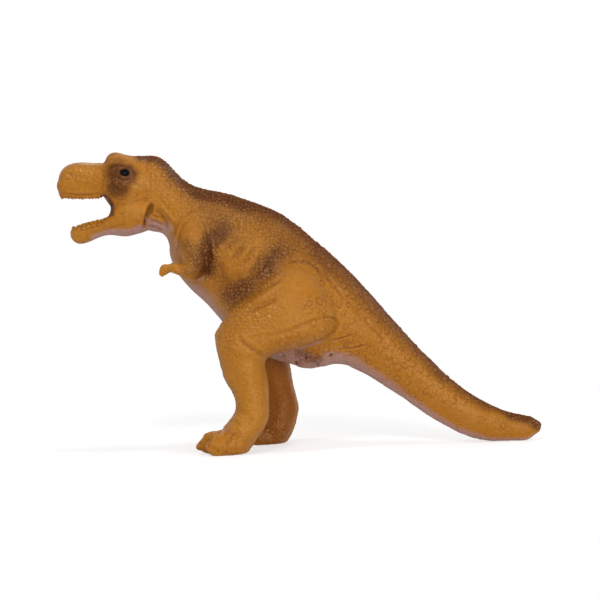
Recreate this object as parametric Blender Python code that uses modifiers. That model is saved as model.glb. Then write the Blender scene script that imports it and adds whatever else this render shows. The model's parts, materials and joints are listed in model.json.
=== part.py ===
"""Toy dinosaur figure: a soft plastic meat eater, roaring, glued together from eight mouldings.

The neck, torso and tail run down in one sweep. They are shaped as one loft and then cut at the
two seams, so the skin carries on from piece to piece. The legs and arms are shaped whole and then
cut back by that same loft, so each one fits the flank that it is glued to. Every moulding holds a
square locating peg that seats in a socket of its neighbour.

Metres, +Z up, +X towards the tail. The figure's left side faces -Y. It stands on two flat soles
and on the low point of its tail.
"""

import math

import bmesh
import bpy
from mathutils import Matrix, Vector

MM = 0.001

# Lengths from the neck seam, and the height that the whole pose follows
HEAD_LENGTH = 33.5 * MM
TORSO_LENGTH = 72 * MM
TAIL_LENGTH = 66 * MM
STAND_HEIGHT = 106.5 * MM

# Widths across the figure
TORSO_WIDTH = 34 * MM
HEAD_WIDTH = 20.5 * MM
THIGH_WIDTH = 23 * MM
ARM_WIDTH = 9.4 * MM
STANCE_WIDTH = 35 * MM

# Pose of the far limbs
STRIDE = 13.7 * MM
ARM_SWING = math.radians(42)

# Feet and hands
TOE_LENGTH = 15.5 * MM
TOE_WIDTH = 7 * MM
TOE_HEIGHT = 8.2 * MM
TOE_SPLAY = math.radians(24)
SIDE_TOE_SHARE = 0.86
FINGER_SPREAD = 2.6 * MM
FINGER_WIDTH = 2.1 * MM
FINGER_DROP = 0.3 * MM

# Head details, each length along the head, then across it, then up
EYE_SIZE = (3.6 * MM, 2.7 * MM, 3 * MM)
BROW_SIZE = (7.8 * MM, 3 * MM, 3 * MM)
NOSTRIL_SIZE = (2.7 * MM, 1.8 * MM, 1.8 * MM)
PALATE_SIZE = (22 * MM, 9 * MM, 3 * MM)
TROUGH_SIZE = (13.4 * MM, 8.2 * MM, 3 * MM)
TONGUE_SIZE = (14.8 * MM, 5.3 * MM, 3.2 * MM)
TOOTH_LENGTH = 0.8 * MM
TOOTH_RADIUS = 0.62 * MM
TOOTH_TIP_RADIUS = 0.16 * MM
TOOTH_ROOT = 1.4 * MM
LOWER_TOOTH_LENGTH = 0.9 * MM
BROW_TILT = math.radians(12)
BROW_TOE_IN = math.radians(8)
JAW_TILT = math.radians(14)

# Locating pegs and the clearances that the glue fills
NECK_PEG_WIDTH = 6 * MM
NECK_PEG_LENGTH = 6 * MM
JAW_PEG_WIDTH = 4.5 * MM
JAW_PEG_LENGTH = 4 * MM
JAW_PEG_ROOT = 4.5 * MM
NECK_PEG_ROOT = 6 * MM
TAIL_PEG_WIDTH = 8 * MM
TAIL_PEG_LENGTH = 8 * MM
TAIL_PEG_ROOT = 8 * MM
HIP_PEG_WIDTH = 7 * MM
HIP_PEG_LENGTH = 6 * MM
HIP_PEG_ROOT = 2.9 * MM
SHOULDER_PEG_WIDTH = 3.6 * MM
SHOULDER_PEG_LENGTH = 4 * MM
SHOULDER_PEG_ROOT = 1.7 * MM
FIT_GAP = 0.3 * MM

# Counts
SPINE_SIDES = 16
HEAD_SIDES = 14
LEG_SIDES = 10
TOE_SIDES = 8
ARM_SIDES = 8
FINGER_SIDES = 6
TOOTH_SIDES = 5
UPPER_TEETH = 24
LOWER_TEETH = 18
BALL_SEGMENTS = 10
BALL_RINGS = 6

# Cutting blocks reach past everything
REACH = 4 * (HEAD_LENGTH + TORSO_LENGTH + TAIL_LENGTH)

# Sections: top along, top level, bottom along, bottom level, half width, squareness.
# Along is a share of the piece's length from the neck or tail seam, and level of the stand height.
TORSO_SECTION_SHARES = (
    (-0.070, 0.985, -0.080, 0.765, 0.46, 0.95),
    (-0.015, 1.003, -0.025, 0.745, 0.52, 0.95),
    (0.048, 1.002, 0.030, 0.740, 0.54, 0.95),
    (0.107, 0.971, 0.066, 0.742, 0.57, 0.95),
    (0.162, 0.918, 0.083, 0.708, 0.62, 0.95),
    (0.221, 0.892, 0.092, 0.659, 0.70, 0.92),
    (0.280, 0.879, 0.118, 0.613, 0.79, 0.90),
    (0.350, 0.872, 0.153, 0.575, 0.86, 0.90),
    (0.429, 0.858, 0.197, 0.540, 0.92, 0.90),
    (0.508, 0.834, 0.253, 0.509, 0.97, 0.90),
    (0.587, 0.814, 0.313, 0.464, 1.00, 0.90),
    (0.666, 0.789, 0.380, 0.400, 1.00, 0.92),
    (0.744, 0.746, 0.468, 0.342, 0.97, 0.94),
    (0.822, 0.699, 0.586, 0.298, 0.91, 0.96),
    (0.900, 0.650, 0.705, 0.276, 0.84, 0.98),
    (0.978, 0.600, 0.825, 0.268, 0.76, 1.00),
)
TAIL_SECTION_SHARES = (
    (0.061, 0.542, -0.061, 0.270, 0.67, 1.00),
    (0.145, 0.479, 0.037, 0.250, 0.60, 1.00),
    (0.229, 0.415, 0.122, 0.215, 0.54, 1.00),
    (0.314, 0.354, 0.208, 0.178, 0.48, 1.00),
    (0.409, 0.290, 0.299, 0.136, 0.42, 1.00),
    (0.505, 0.229, 0.400, 0.090, 0.37, 1.00),
    (0.590, 0.183, 0.507, 0.047, 0.33, 1.00),
    (0.680, 0.144, 0.620, 0.014, 0.30, 1.00),
    (0.770, 0.114, 0.735, -0.005, 0.265, 1.00),
    (0.860, 0.096, 0.845, -0.010, 0.23, 1.00),
    (0.950, 0.086, 0.938, -0.004, 0.19, 1.00),
    (1.000, 0.080, 0.985, 0.018, 0.14, 1.00),
    (1.026, 0.070, 1.021, 0.042, 0.09, 1.00),
)

# Sections of the skull with the upper jaw: along from the neck seam to the snout, top level,
# bottom level, half width, squareness
HEAD_SECTION_SHARES = (
    (-0.100, 0.993, 0.815, 0.84, 0.95),
    (0.000, 1.000, 0.815, 0.88, 0.92),
    (0.105, 0.999, 0.815, 0.95, 0.85),
    (0.210, 1.000, 0.815, 1.00, 0.80),
    (0.315, 1.014, 0.815, 0.98, 0.78),
    (0.395, 1.014, 0.820, 0.90, 0.75),
    (0.452, 0.997, 0.842, 0.80, 0.70),
    (0.520, 0.975, 0.866, 0.70, 0.62),
    (0.640, 0.982, 0.857, 0.63, 0.60),
    (0.770, 0.984, 0.857, 0.60, 0.60),
    (0.870, 0.976, 0.858, 0.53, 0.64),
    (0.935, 0.959, 0.861, 0.42, 0.72),
    (0.972, 0.932, 0.868, 0.26, 0.82),
)
JAW_SECTION_SHARES = (
    (-0.060, 0.875, 0.758, 0.84, 0.90),
    (0.050, 0.875, 0.744, 0.92, 0.76),
    (0.136, 0.875, 0.738, 0.97, 0.74),
    (0.245, 0.870, 0.727, 0.98, 0.74),
    (0.352, 0.846, 0.733, 0.92, 0.74),
    (0.417, 0.824, 0.737, 0.83, 0.72),
    (0.482, 0.802, 0.736, 0.72, 0.66),
    (0.570, 0.785, 0.727, 0.63, 0.64),
    (0.657, 0.776, 0.714, 0.58, 0.66),
    (0.743, 0.769, 0.706, 0.53, 0.70),
    (0.815, 0.763, 0.713, 0.44, 0.76),
    (0.862, 0.757, 0.733, 0.28, 0.86),
)

# Sections of the left leg: front along, front level, back along, back level, place out from the
# middle as a share of half the stance, half width as a share of half the thigh, share of the stride
LEG_SECTION_SHARES = (
    (0.640, 0.640, 0.764, 0.622, 0.50, 0.45, 0.08),
    (0.558, 0.600, 0.847, 0.565, 0.57, 0.70, 0.12),
    (0.465, 0.535, 0.905, 0.490, 0.62, 0.90, 0.19),
    (0.390, 0.482, 0.925, 0.412, 0.67, 0.98, 0.31),
    (0.345, 0.432, 0.853, 0.365, 0.72, 0.94, 0.46),
    (0.302, 0.394, 0.660, 0.334, 0.78, 0.86, 0.60),
    (0.318, 0.318, 0.537, 0.321, 0.83, 0.78, 0.62),
    (0.350, 0.263, 0.570, 0.260, 0.89, 0.69, 0.60),
    (0.384, 0.212, 0.573, 0.205, 0.93, 0.62, 0.61),
    (0.413, 0.168, 0.573, 0.152, 0.96, 0.57, 0.65),
    (0.400, 0.128, 0.575, 0.110, 0.98, 0.60, 0.73),
    (0.343, 0.095, 0.528, 0.066, 1.00, 0.68, 0.91),
    (0.315, 0.045, 0.490, 0.030, 1.00, 0.72, 1.00),
    (0.315, -0.010, 0.440, -0.022, 1.00, 0.70, 1.00),
)
FOOT_ALONG_SHARE = 0.43

# Sections of a toe: along its length, top level, bottom level, half width
TOE_SECTION_SHARES = (
    (0.00, 1.05, -0.30, 1.00),
    (0.40, 0.90, -0.30, 1.00),
    (0.66, 0.77, -0.20, 0.86),
    (0.81, 0.86, -0.06, 0.72),
    (0.93, 0.66, 0.12, 0.48),
    (1.06, 0.42, 0.24, 0.16),
)

# Sections of the left arm: front along, front level, back along, back level, place out from the
# middle as a share of half the torso, half width as a share of half the arm
ARM_SECTION_SHARES = (
    (0.190, 0.815, 0.330, 0.805, 0.50, 0.80),
    (0.158, 0.765, 0.335, 0.755, 0.63, 1.02),
    (0.146, 0.710, 0.310, 0.692, 0.76, 1.04),
    (0.156, 0.656, 0.290, 0.632, 0.85, 0.96),
    (0.174, 0.633, 0.248, 0.574, 0.92, 0.84),
    (0.158, 0.633, 0.196, 0.575, 0.96, 0.72),
    (0.141, 0.638, 0.158, 0.596, 0.99, 0.63),
    (0.118, 0.642, 0.127, 0.603, 1.00, 0.57),
    (0.098, 0.642, 0.105, 0.607, 1.00, 0.54),
)
FINGER_SECTION_SHARES = (
    (0.118, 0.632, 0.124, 0.612, 0.90),
    (0.088, 0.642, 0.096, 0.608, 0.95),
    (0.061, 0.640, 0.083, 0.602, 1.00),
    (0.045, 0.620, 0.074, 0.592, 1.05),
    (0.047, 0.598, 0.062, 0.585, 1.10),
)
FINGER_TAPER_SHARE = 0.30
PLASTIC_ROUGHNESS_SHARE = 0.45
SHOULDER_SHARES = (0.221, 0.704, 0.85)
HIP_SHARES = (0.683, 0.470, 1.00)

# Places on the head: along it, level, and out from the middle as a share of half its width
EYE_PLACE_SHARES = (0.262, 0.943, 0.90)
BROW_PLACE_SHARES = (0.300, 0.972, 0.80)
NOSTRIL_PLACE_SHARES = (0.830, 0.945, 0.57)
PALATE_PLACE_SHARES = (0.655, 0.862)
TROUGH_PLACE_SHARES = (0.640, 0.781)
TONGUE_PLACE_SHARES = (0.570, 0.776)
NECK_PEG_PLACE_SHARES = (0.000, 0.915)
CREASE_FRONT_SHARES = (0.413, 0.833)
CREASE_BACK_SHARES = (0.000, 0.857)

# A row of teeth: back along, front along, out from the middle, back level, front level
UPPER_ROW_SHARES = (0.545, 0.930, 0.55, 0.863, 0.865)
LOWER_ROW_SHARES = (0.520, 0.835, 0.53, 0.789, 0.757)
# How the row bends: how square its front is, and how much it narrows there
ROW_FRONT_SHARE = 0.5
ROW_SIDE_SHARE = 0.8
ROW_NARROWING_SHARE = 0.2

# How square the limbs' sections are, and how far apart the toes start
LEG_SQUARE_SHARE = 0.92
TOE_SQUARE_SHARE = 0.90
ARM_SQUARE_SHARE = 0.95
TOE_APART_SHARE = 0.42

SIDES = {"left": -1, "right": 1}


def clear_scene():
    for item in list(bpy.data.objects):
        bpy.data.objects.remove(item)
    for group in list(bpy.data.collections):
        bpy.data.collections.remove(group)


def make_collection(name, hidden=False):
    group = bpy.data.collections.new(name)
    group.hide_render = hidden
    bpy.context.scene.collection.children.link(group)
    return group


class Figure:
    """The collections, the parent empty and the materials that the pieces share."""

    def __init__(self):
        self.pieces = make_collection("toy_dinosaur_figure")
        self.tools = make_collection("shaping_tools", hidden=True)
        self.parent = bpy.data.objects.new("figure_origin", None)
        self.pieces.objects.link(self.parent)

    def add(self, name, mesh, tool=False):
        item = bpy.data.objects.new(name, mesh)
        (self.tools if tool else self.pieces).objects.link(item)
        item.parent = self.parent
        if tool:
            item.hide_render = True
            item.display_type = "WIRE"
        return item


def plastic(name, colour, roughness):
    material = bpy.data.materials.new(name)
    material.use_nodes = True
    shader = material.node_tree.nodes["Principled BSDF"]
    shader.inputs["Base Color"].default_value = (*colour, 1)
    shader.inputs["Roughness"].default_value = roughness
    shader.inputs["Metallic"].default_value = 0
    material.diffuse_color = (*colour, 1)
    return material


def bend(value, power):
    return math.copysign(abs(value) ** power, value)


def ring_points(section, sides, grow):
    """One closed cross section, from its top point round the +Y side."""
    top, bottom, half_width, squareness = section
    middle = (top + bottom) / 2
    rise = (top - bottom) / 2
    rise += rise.normalized() * grow
    across = Vector((0, half_width + grow, 0))
    # The subdivision draws each ring in by this much
    swell = 3 / (2 + math.cos(math.tau / sides))
    points = []
    for step in range(sides):
        angle = math.tau * step / sides
        up = bend(math.cos(angle), squareness)
        out = bend(math.sin(angle), squareness)
        points.append(middle + (rise * up + across * out) * swell)
    return points


def loft_mesh(name, sections, sides, grow=0.0):
    """A closed skin over the cross sections, which run from one end to the other."""
    bm = bmesh.new()
    rings = []
    for section in sections:
        rings.append([bm.verts.new(point) for point in ring_points(section, sides, grow)])
    for ring, following in zip(rings, rings[1:]):
        for step in range(sides):
            after = (step + 1) % sides
            bm.faces.new((ring[step], ring[after], following[after], following[step]))
    bm.faces.new(rings[0])
    bm.faces.new(rings[-1])
    bmesh.ops.recalc_face_normals(bm, faces=bm.faces)
    for face in bm.faces:
        face.smooth = True
    mesh = bpy.data.meshes.new(name)
    bm.to_mesh(mesh)
    bm.free()
    return mesh


def soften(item, levels=1):
    modifier = item.modifiers.new("soft skin", "SUBSURF")
    modifier.levels = levels
    modifier.render_levels = levels
    # Flat facets let the cuts and joins that follow meet cleanly
    item.modifiers.new("flat facets", "TRIANGULATE")


def boolean(item, tool, operation):
    modifier = item.modifiers.new(f"{operation.lower()} {tool.name}", "BOOLEAN")
    modifier.operation = operation
    modifier.solver = "EXACT"
    modifier.object = tool


def box_mesh(name, size):
    bm = bmesh.new()
    bmesh.ops.create_cube(bm, size=1)
    bmesh.ops.scale(bm, vec=size, verts=bm.verts)
    mesh = bpy.data.meshes.new(name)
    bm.to_mesh(mesh)
    bm.free()
    return mesh


def ball_mesh(name, size):
    bm = bmesh.new()
    bmesh.ops.create_uvsphere(bm, u_segments=BALL_SEGMENTS, v_segments=BALL_RINGS, radius=0.5)
    bmesh.ops.scale(bm, vec=size, verts=bm.verts)
    mesh = bpy.data.meshes.new(name)
    bm.to_mesh(mesh)
    bm.free()
    return mesh


def block_beyond(figure, name, point, direction, back=0.0):
    """A cutting block that holds all that lies beyond the plane through point, less back."""
    direction = direction.normalized()
    item = figure.add(name, box_mesh(name, (REACH, REACH, REACH)), tool=True)
    item.rotation_euler = direction.to_track_quat("X", "Z").to_euler()
    item.location = point + direction * (REACH / 2 - back)
    return item


def split_gap(figure, name, piece, point, direction):
    """Trims the piece back to its side of a seam plane, by half the fit gap."""
    boolean(piece, block_beyond(figure, name, point, direction, FIT_GAP / 2), "DIFFERENCE")


def peg_and_socket(figure, name, piece, holder, root, direction, width, length, root_depth):
    """A square peg on the piece, and the socket for it in the holder."""
    turn = direction.normalized().to_track_quat("X", "Z")
    full = length + root_depth
    peg = figure.add(f"{name}_peg", box_mesh(f"{name}_peg", (full, width, width)), tool=True)
    peg.rotation_euler = turn.to_euler()
    peg.location = root + turn @ Vector((length - full / 2, 0, 0))
    deep = full + FIT_GAP
    wide = width + 2 * FIT_GAP
    socket = figure.add(f"{name}_socket", box_mesh(f"{name}_socket", (deep, wide, wide)), tool=True)
    socket.rotation_euler = turn.to_euler()
    socket.location = root + turn @ Vector((length + FIT_GAP - deep / 2, 0, 0))
    boolean(piece, peg, "UNION")
    boolean(holder, socket, "DIFFERENCE")


def torso_point(along, level, out=0.0):
    return Vector((along * TORSO_LENGTH, out * TORSO_WIDTH / 2, level * STAND_HEIGHT))


def tail_point(along, level):
    return Vector((TORSO_LENGTH + along * TAIL_LENGTH, 0, level * STAND_HEIGHT))


def head_point(along, level, out=0.0):
    return Vector((-along * HEAD_LENGTH, out * HEAD_WIDTH / 2, level * STAND_HEIGHT))


def spine_sections():
    sections = []
    for place, rows in ((torso_point, TORSO_SECTION_SHARES), (tail_point, TAIL_SECTION_SHARES)):
        for top_along, top_level, low_along, low_level, width, square in rows:
            top = place(top_along, top_level)
            bottom = place(low_along, low_level)
            sections.append((top, bottom, width * TORSO_WIDTH / 2, square))
    return sections


def head_sections(rows):
    sections = []
    for along, top_level, low_level, width, square in rows:
        top = head_point(along, top_level)
        bottom = head_point(along, low_level)
        sections.append((top, bottom, width * HEAD_WIDTH / 2, square))
    return sections


def neck_seam():
    """A point of the seam plane behind the head, and the way that the head lies from it."""
    return head_point(*NECK_PEG_PLACE_SHARES), Vector((-1, 0, 0))


def tail_seam():
    """A point of the seam plane at the tail's root, and the way that the tail lies from it."""
    top_along, top_level, low_along, low_level = TAIL_SECTION_SHARES[0][:4]
    top = tail_point(top_along, top_level)
    bottom = tail_point(low_along, low_level)
    return (top + bottom) / 2, (bottom - top).cross(Vector((0, 1, 0)))


def jaw_seam():
    """The plane that the cheek crease lies in, and the way that the lower jaw lies from it."""
    front = head_point(*CREASE_FRONT_SHARES)
    back = head_point(*CREASE_BACK_SHARES)
    return (front + back) / 2, Vector((0, 1, 0)).cross(back - front)


def make_spine(figure, ground):
    """The torso and the tail, and the grown shape that trims the limbs."""
    mesh = loft_mesh("spine", spine_sections(), SPINE_SIDES)
    torso = figure.add("torso", mesh)
    tail = figure.add("tail", mesh.copy())
    for item in (torso, tail):
        soften(item)
    neck, forward = neck_seam()
    seam, rearward = tail_seam()
    split_gap(figure, "ahead_of_neck_seam", torso, neck, forward)
    split_gap(figure, "behind_tail_seam", torso, seam, rearward)
    split_gap(figure, "ahead_of_tail_seam", tail, seam, -rearward)
    boolean(tail, ground, "DIFFERENCE")
    peg_and_socket(
        figure, "tail", tail, torso, seam, -rearward, TAIL_PEG_WIDTH, TAIL_PEG_LENGTH, TAIL_PEG_ROOT
    )
    grown_mesh = loft_mesh("grown_spine", spine_sections(), SPINE_SIDES, FIT_GAP)
    grown = figure.add("grown_spine", grown_mesh, tool=True)
    soften(grown)
    return torso, tail, grown


def spaced_along(points, count):
    """Places at even steps of length along a run of points."""
    lengths = [0.0]
    for start, end in zip(points, points[1:]):
        lengths.append(lengths[-1] + (end - start).length)
    places = []
    index = 0
    for step in range(count):
        target = lengths[-1] * step / (count - 1)
        while index < len(points) - 2 and lengths[index + 1] < target:
            index += 1
        part = (target - lengths[index]) / (lengths[index + 1] - lengths[index])
        places.append(points[index].lerp(points[index + 1], part))
    return places


def tooth_row(row_shares, count):
    """Even places round one jaw's lip, from the back of one side to the back of the other."""
    back, front, out_share, back_level, front_level = row_shares
    run = []
    fine_steps = 8 * count
    for step in range(fine_steps + 1):
        angle = math.pi * (step / fine_steps - 0.5)
        reach = abs(math.cos(angle)) ** ROW_FRONT_SHARE
        along = back + (front - back) * reach
        level = back_level + (front_level - back_level) * reach
        narrowing = 1 - ROW_NARROWING_SHARE * reach
        out = bend(math.sin(angle), ROW_SIDE_SHARE) * narrowing * out_share
        run.append(head_point(along, level, out))
    return spaced_along(run, count)


def teeth_mesh(name, places, length, upward):
    """One small cone for each tooth, its root sunk in the jaw."""
    bm = bmesh.new()
    whole = length + TOOTH_ROOT
    for place in places:
        turn = Matrix.Rotation(0 if upward else math.pi, 4, "X")
        centre = place + Vector((0, 0, (whole / 2 - TOOTH_ROOT) * (1 if upward else -1)))
        bmesh.ops.create_cone(
            bm,
            cap_ends=True,
            segments=TOOTH_SIDES,
            radius1=TOOTH_RADIUS,
            radius2=TOOTH_TIP_RADIUS,
            depth=whole,
            matrix=Matrix.Translation(centre) @ turn,
        )
    mesh = bpy.data.meshes.new(name)
    bm.to_mesh(mesh)
    bm.free()
    return mesh


def ball_tool(figure, name, size, place, turn=(0, 0, 0)):
    item = figure.add(name, ball_mesh(name, size), tool=True)
    item.location = place
    item.rotation_euler = turn
    return item


def mirrored(place_shares, sign):
    """The place on the head, on the side that sign gives."""
    along, level, out = place_shares
    return head_point(along, level, sign * out)


def add_face_details(figure, head):
    """Brow ridges, eyes and nostrils, one of each on both sides."""
    for side, sign in SIDES.items():
        brow_turn = (0, BROW_TILT, -sign * BROW_TOE_IN)
        brow = ball_tool(
            figure, f"brow_{side}", BROW_SIZE, mirrored(BROW_PLACE_SHARES, sign), brow_turn
        )
        boolean(head, brow, "UNION")
        eye = ball_tool(figure, f"eye_{side}", EYE_SIZE, mirrored(EYE_PLACE_SHARES, sign))
        boolean(head, eye, "UNION")
        nostril = ball_tool(
            figure, f"nostril_{side}", NOSTRIL_SIZE, mirrored(NOSTRIL_PLACE_SHARES, sign)
        )
        boolean(head, nostril, "DIFFERENCE")


def add_teeth(figure, name, piece, row_shares, count, length, upward):
    places = tooth_row(row_shares, count)
    teeth = figure.add(name, teeth_mesh(name, places, length, upward), tool=True)
    boolean(piece, teeth, "UNION")


def make_head(figure, torso):
    mesh = loft_mesh("skull", head_sections(HEAD_SECTION_SHARES), HEAD_SIDES)
    head = figure.add("head", mesh)
    soften(head)
    palate = ball_tool(figure, "palate", PALATE_SIZE, head_point(*PALATE_PLACE_SHARES))
    boolean(head, palate, "DIFFERENCE")
    add_teeth(figure, "upper_teeth", head, UPPER_ROW_SHARES, UPPER_TEETH, TOOTH_LENGTH, False)
    add_face_details(figure, head)
    neck, forward = neck_seam()
    crease, downward = jaw_seam()
    split_gap(figure, "behind_neck_seam", head, neck, -forward)
    split_gap(figure, "below_crease", head, crease, downward)
    peg_and_socket(
        figure, "neck", head, torso, neck, -forward, NECK_PEG_WIDTH, NECK_PEG_LENGTH, NECK_PEG_ROOT
    )
    return head


def make_jaw(figure, head):
    mesh = loft_mesh("mandible", head_sections(JAW_SECTION_SHARES), HEAD_SIDES)
    jaw = figure.add("lower_jaw", mesh)
    soften(jaw)
    tilt = (0, -JAW_TILT, 0)
    trough = ball_tool(figure, "trough", TROUGH_SIZE, head_point(*TROUGH_PLACE_SHARES), tilt)
    boolean(jaw, trough, "DIFFERENCE")
    tongue = ball_tool(figure, "tongue", TONGUE_SIZE, head_point(*TONGUE_PLACE_SHARES), tilt)
    boolean(jaw, tongue, "UNION")
    add_teeth(figure, "lower_teeth", jaw, LOWER_ROW_SHARES, LOWER_TEETH, LOWER_TOOTH_LENGTH, True)
    neck, forward = neck_seam()
    crease, downward = jaw_seam()
    split_gap(figure, "jaw_behind_neck_seam", jaw, neck, -forward)
    split_gap(figure, "above_crease", jaw, crease, -downward)
    peg_and_socket(
        figure, "jaw", jaw, head, crease, -downward, JAW_PEG_WIDTH, JAW_PEG_LENGTH, JAW_PEG_ROOT
    )
    return jaw


def leg_sections(sign):
    stride = STRIDE if sign > 0 else 0
    sections = []
    for front_along, front_level, back_along, back_level, out, width, late in LEG_SECTION_SHARES:
        shift = Vector((late * stride, sign * out * STANCE_WIDTH / 2, 0))
        front = torso_point(front_along, front_level) + shift
        back = torso_point(back_along, back_level) + shift
        sections.append((front, back, width * THIGH_WIDTH / 2, LEG_SQUARE_SHARE))
    return sections


def toe_sections(length):
    sections = []
    for along, top, low, width in TOE_SECTION_SHARES:
        sections.append(
            (
                Vector((-along * length, 0, top * TOE_HEIGHT)),
                Vector((-along * length, 0, low * TOE_HEIGHT)),
                width * TOE_WIDTH / 2,
                TOE_SQUARE_SHARE,
            )
        )
    return sections


def add_toes(figure, leg, side, sign):
    """Three toes that spread from the middle of the foot."""
    stride = STRIDE if sign > 0 else 0
    foot = torso_point(FOOT_ALONG_SHARE, 0) + Vector((stride, sign * STANCE_WIDTH / 2, 0))
    for toe, turn in (("inner", sign), ("middle", 0), ("outer", -sign)):
        length = TOE_LENGTH * (SIDE_TOE_SHARE if turn else 1)
        name = f"{toe}_toe_{side}"
        item = figure.add(name, loft_mesh(name, toe_sections(length), TOE_SIDES), tool=True)
        soften(item)
        item.location = foot + Vector((0, -turn * TOE_APART_SHARE * TOE_WIDTH, 0))
        item.rotation_euler = (0, 0, turn * TOE_SPLAY)
        boolean(leg, item, "UNION")


def make_leg(figure, torso, grown, ground, side, sign):
    name = f"leg_{side}"
    leg = figure.add(name, loft_mesh(name, leg_sections(sign), LEG_SIDES))
    soften(leg)
    add_toes(figure, leg, side, sign)
    boolean(leg, ground, "DIFFERENCE")
    boolean(leg, grown, "DIFFERENCE")
    along, level, out = HIP_SHARES
    peg_and_socket(
        figure,
        f"hip_{side}",
        leg,
        torso,
        torso_point(along, level, sign * out),
        Vector((0, -sign, 0)),
        HIP_PEG_WIDTH,
        HIP_PEG_LENGTH,
        HIP_PEG_ROOT,
    )
    return leg


def swing_about_shoulder(point, sign):
    """The right arm hangs further back than the left one."""
    if sign < 0:
        return point
    shoulder = torso_point(*SHOULDER_SHARES[:2])
    turn = Matrix.Rotation(-ARM_SWING, 3, "Y")
    return turn @ (point - shoulder) + shoulder


def arm_sections(sign):
    sections = []
    for front_along, front_level, back_along, back_level, out, width in ARM_SECTION_SHARES:
        shift = Vector((0, sign * out * TORSO_WIDTH / 2, 0))
        front = swing_about_shoulder(torso_point(front_along, front_level), sign) + shift
        back = swing_about_shoulder(torso_point(back_along, back_level), sign) + shift
        sections.append((front, back, width * ARM_WIDTH / 2, ARM_SQUARE_SHARE))
    return sections


def finger_sections(sign, spread):
    sections = []
    wrist_out = ARM_SECTION_SHARES[-1][4] * TORSO_WIDTH / 2
    for front_along, front_level, back_along, back_level, part in FINGER_SECTION_SHARES:
        drop = FINGER_DROP if spread < 0 else 0
        shift = Vector((0, sign * (wrist_out + spread * part), -drop))
        front = swing_about_shoulder(torso_point(front_along, front_level), sign) + shift
        back = swing_about_shoulder(torso_point(back_along, back_level), sign) + shift
        taper = 1 - FINGER_TAPER_SHARE * part
        sections.append((front, back, taper * FINGER_WIDTH / 2, ARM_SQUARE_SHARE))
    return sections


def make_arm(figure, torso, grown, side, sign):
    name = f"arm_{side}"
    arm = figure.add(name, loft_mesh(name, arm_sections(sign), ARM_SIDES))
    soften(arm)
    for finger, spread in (("outer", FINGER_SPREAD / 2), ("inner", -FINGER_SPREAD / 2)):
        name = f"{finger}_finger_{side}"
        sections = finger_sections(sign, spread)
        item = figure.add(name, loft_mesh(name, sections, FINGER_SIDES), tool=True)
        soften(item)
        boolean(arm, item, "UNION")
    boolean(arm, grown, "DIFFERENCE")
    along, level, out = SHOULDER_SHARES
    peg_and_socket(
        figure,
        f"shoulder_{side}",
        arm,
        torso,
        torso_point(along, level, sign * out),
        Vector((0, -sign, 0)),
        SHOULDER_PEG_WIDTH,
        SHOULDER_PEG_LENGTH,
        SHOULDER_PEG_ROOT,
    )
    return arm


def paint(items):
    """Every moulding has its own tint of the same ochre plastic."""
    tints = {
        "torso": (0.42, 0.19, 0.035),
        "tail": (0.45, 0.20, 0.035),
        "head": (0.50, 0.22, 0.045),
        "lower_jaw": (0.52, 0.24, 0.06),
        "leg_left": (0.55, 0.25, 0.04),
        "leg_right": (0.40, 0.16, 0.03),
        "arm_left": (0.52, 0.22, 0.04),
        "arm_right": (0.48, 0.20, 0.04),
    }
    for item in items:
        name = f"{item.name}_plastic"
        item.data.materials.append(plastic(name, tints[item.name], PLASTIC_ROUGHNESS_SHARE))


def stand_at_origin(figure, items):
    """Moves the figure so that it is centred over the origin and stands on the ground."""
    bpy.context.view_layer.update()
    graph = bpy.context.evaluated_depsgraph_get()
    corners = []
    for item in items:
        shown = item.evaluated_get(graph)
        corners += [shown.matrix_world @ Vector(corner) for corner in shown.bound_box]
    low = Vector([min(corner[axis] for corner in corners) for axis in range(3)])
    high = Vector([max(corner[axis] for corner in corners) for axis in range(3)])
    middle = (low + high) / 2
    figure.parent.location = (-middle.x, -middle.y, 0)
    bpy.context.view_layer.update()


def build():
    clear_scene()
    figure = Figure()
    ground = block_beyond(figure, "ground", Vector((0, 0, 0)), Vector((0, 0, -1)))
    torso, tail, grown = make_spine(figure, ground)
    head = make_head(figure, torso)
    jaw = make_jaw(figure, head)
    limbs = []
    for side, sign in SIDES.items():
        limbs.append(make_leg(figure, torso, grown, ground, side, sign))
        limbs.append(make_arm(figure, torso, grown, side, sign))
    items = [torso, tail, head, jaw, *limbs]
    paint(items)
    stand_at_origin(figure, items)


build()
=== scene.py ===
"""The looks of a toy dinosaur figure in soft moulded plastic.

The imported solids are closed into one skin, which is smoothed, carved with folds, scales and
pebbles, and cut back into one piece for each node. Millimetres are used for the carving and
picture pixels for where the folds lie, because they were measured on the picture."""

import json
import math
from itertools import product

import bmesh
import bpy
import numpy as np
from mathutils import Matrix, Vector
from mathutils.bvhtree import BVHTree
from mathutils.kdtree import KDTree

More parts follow.
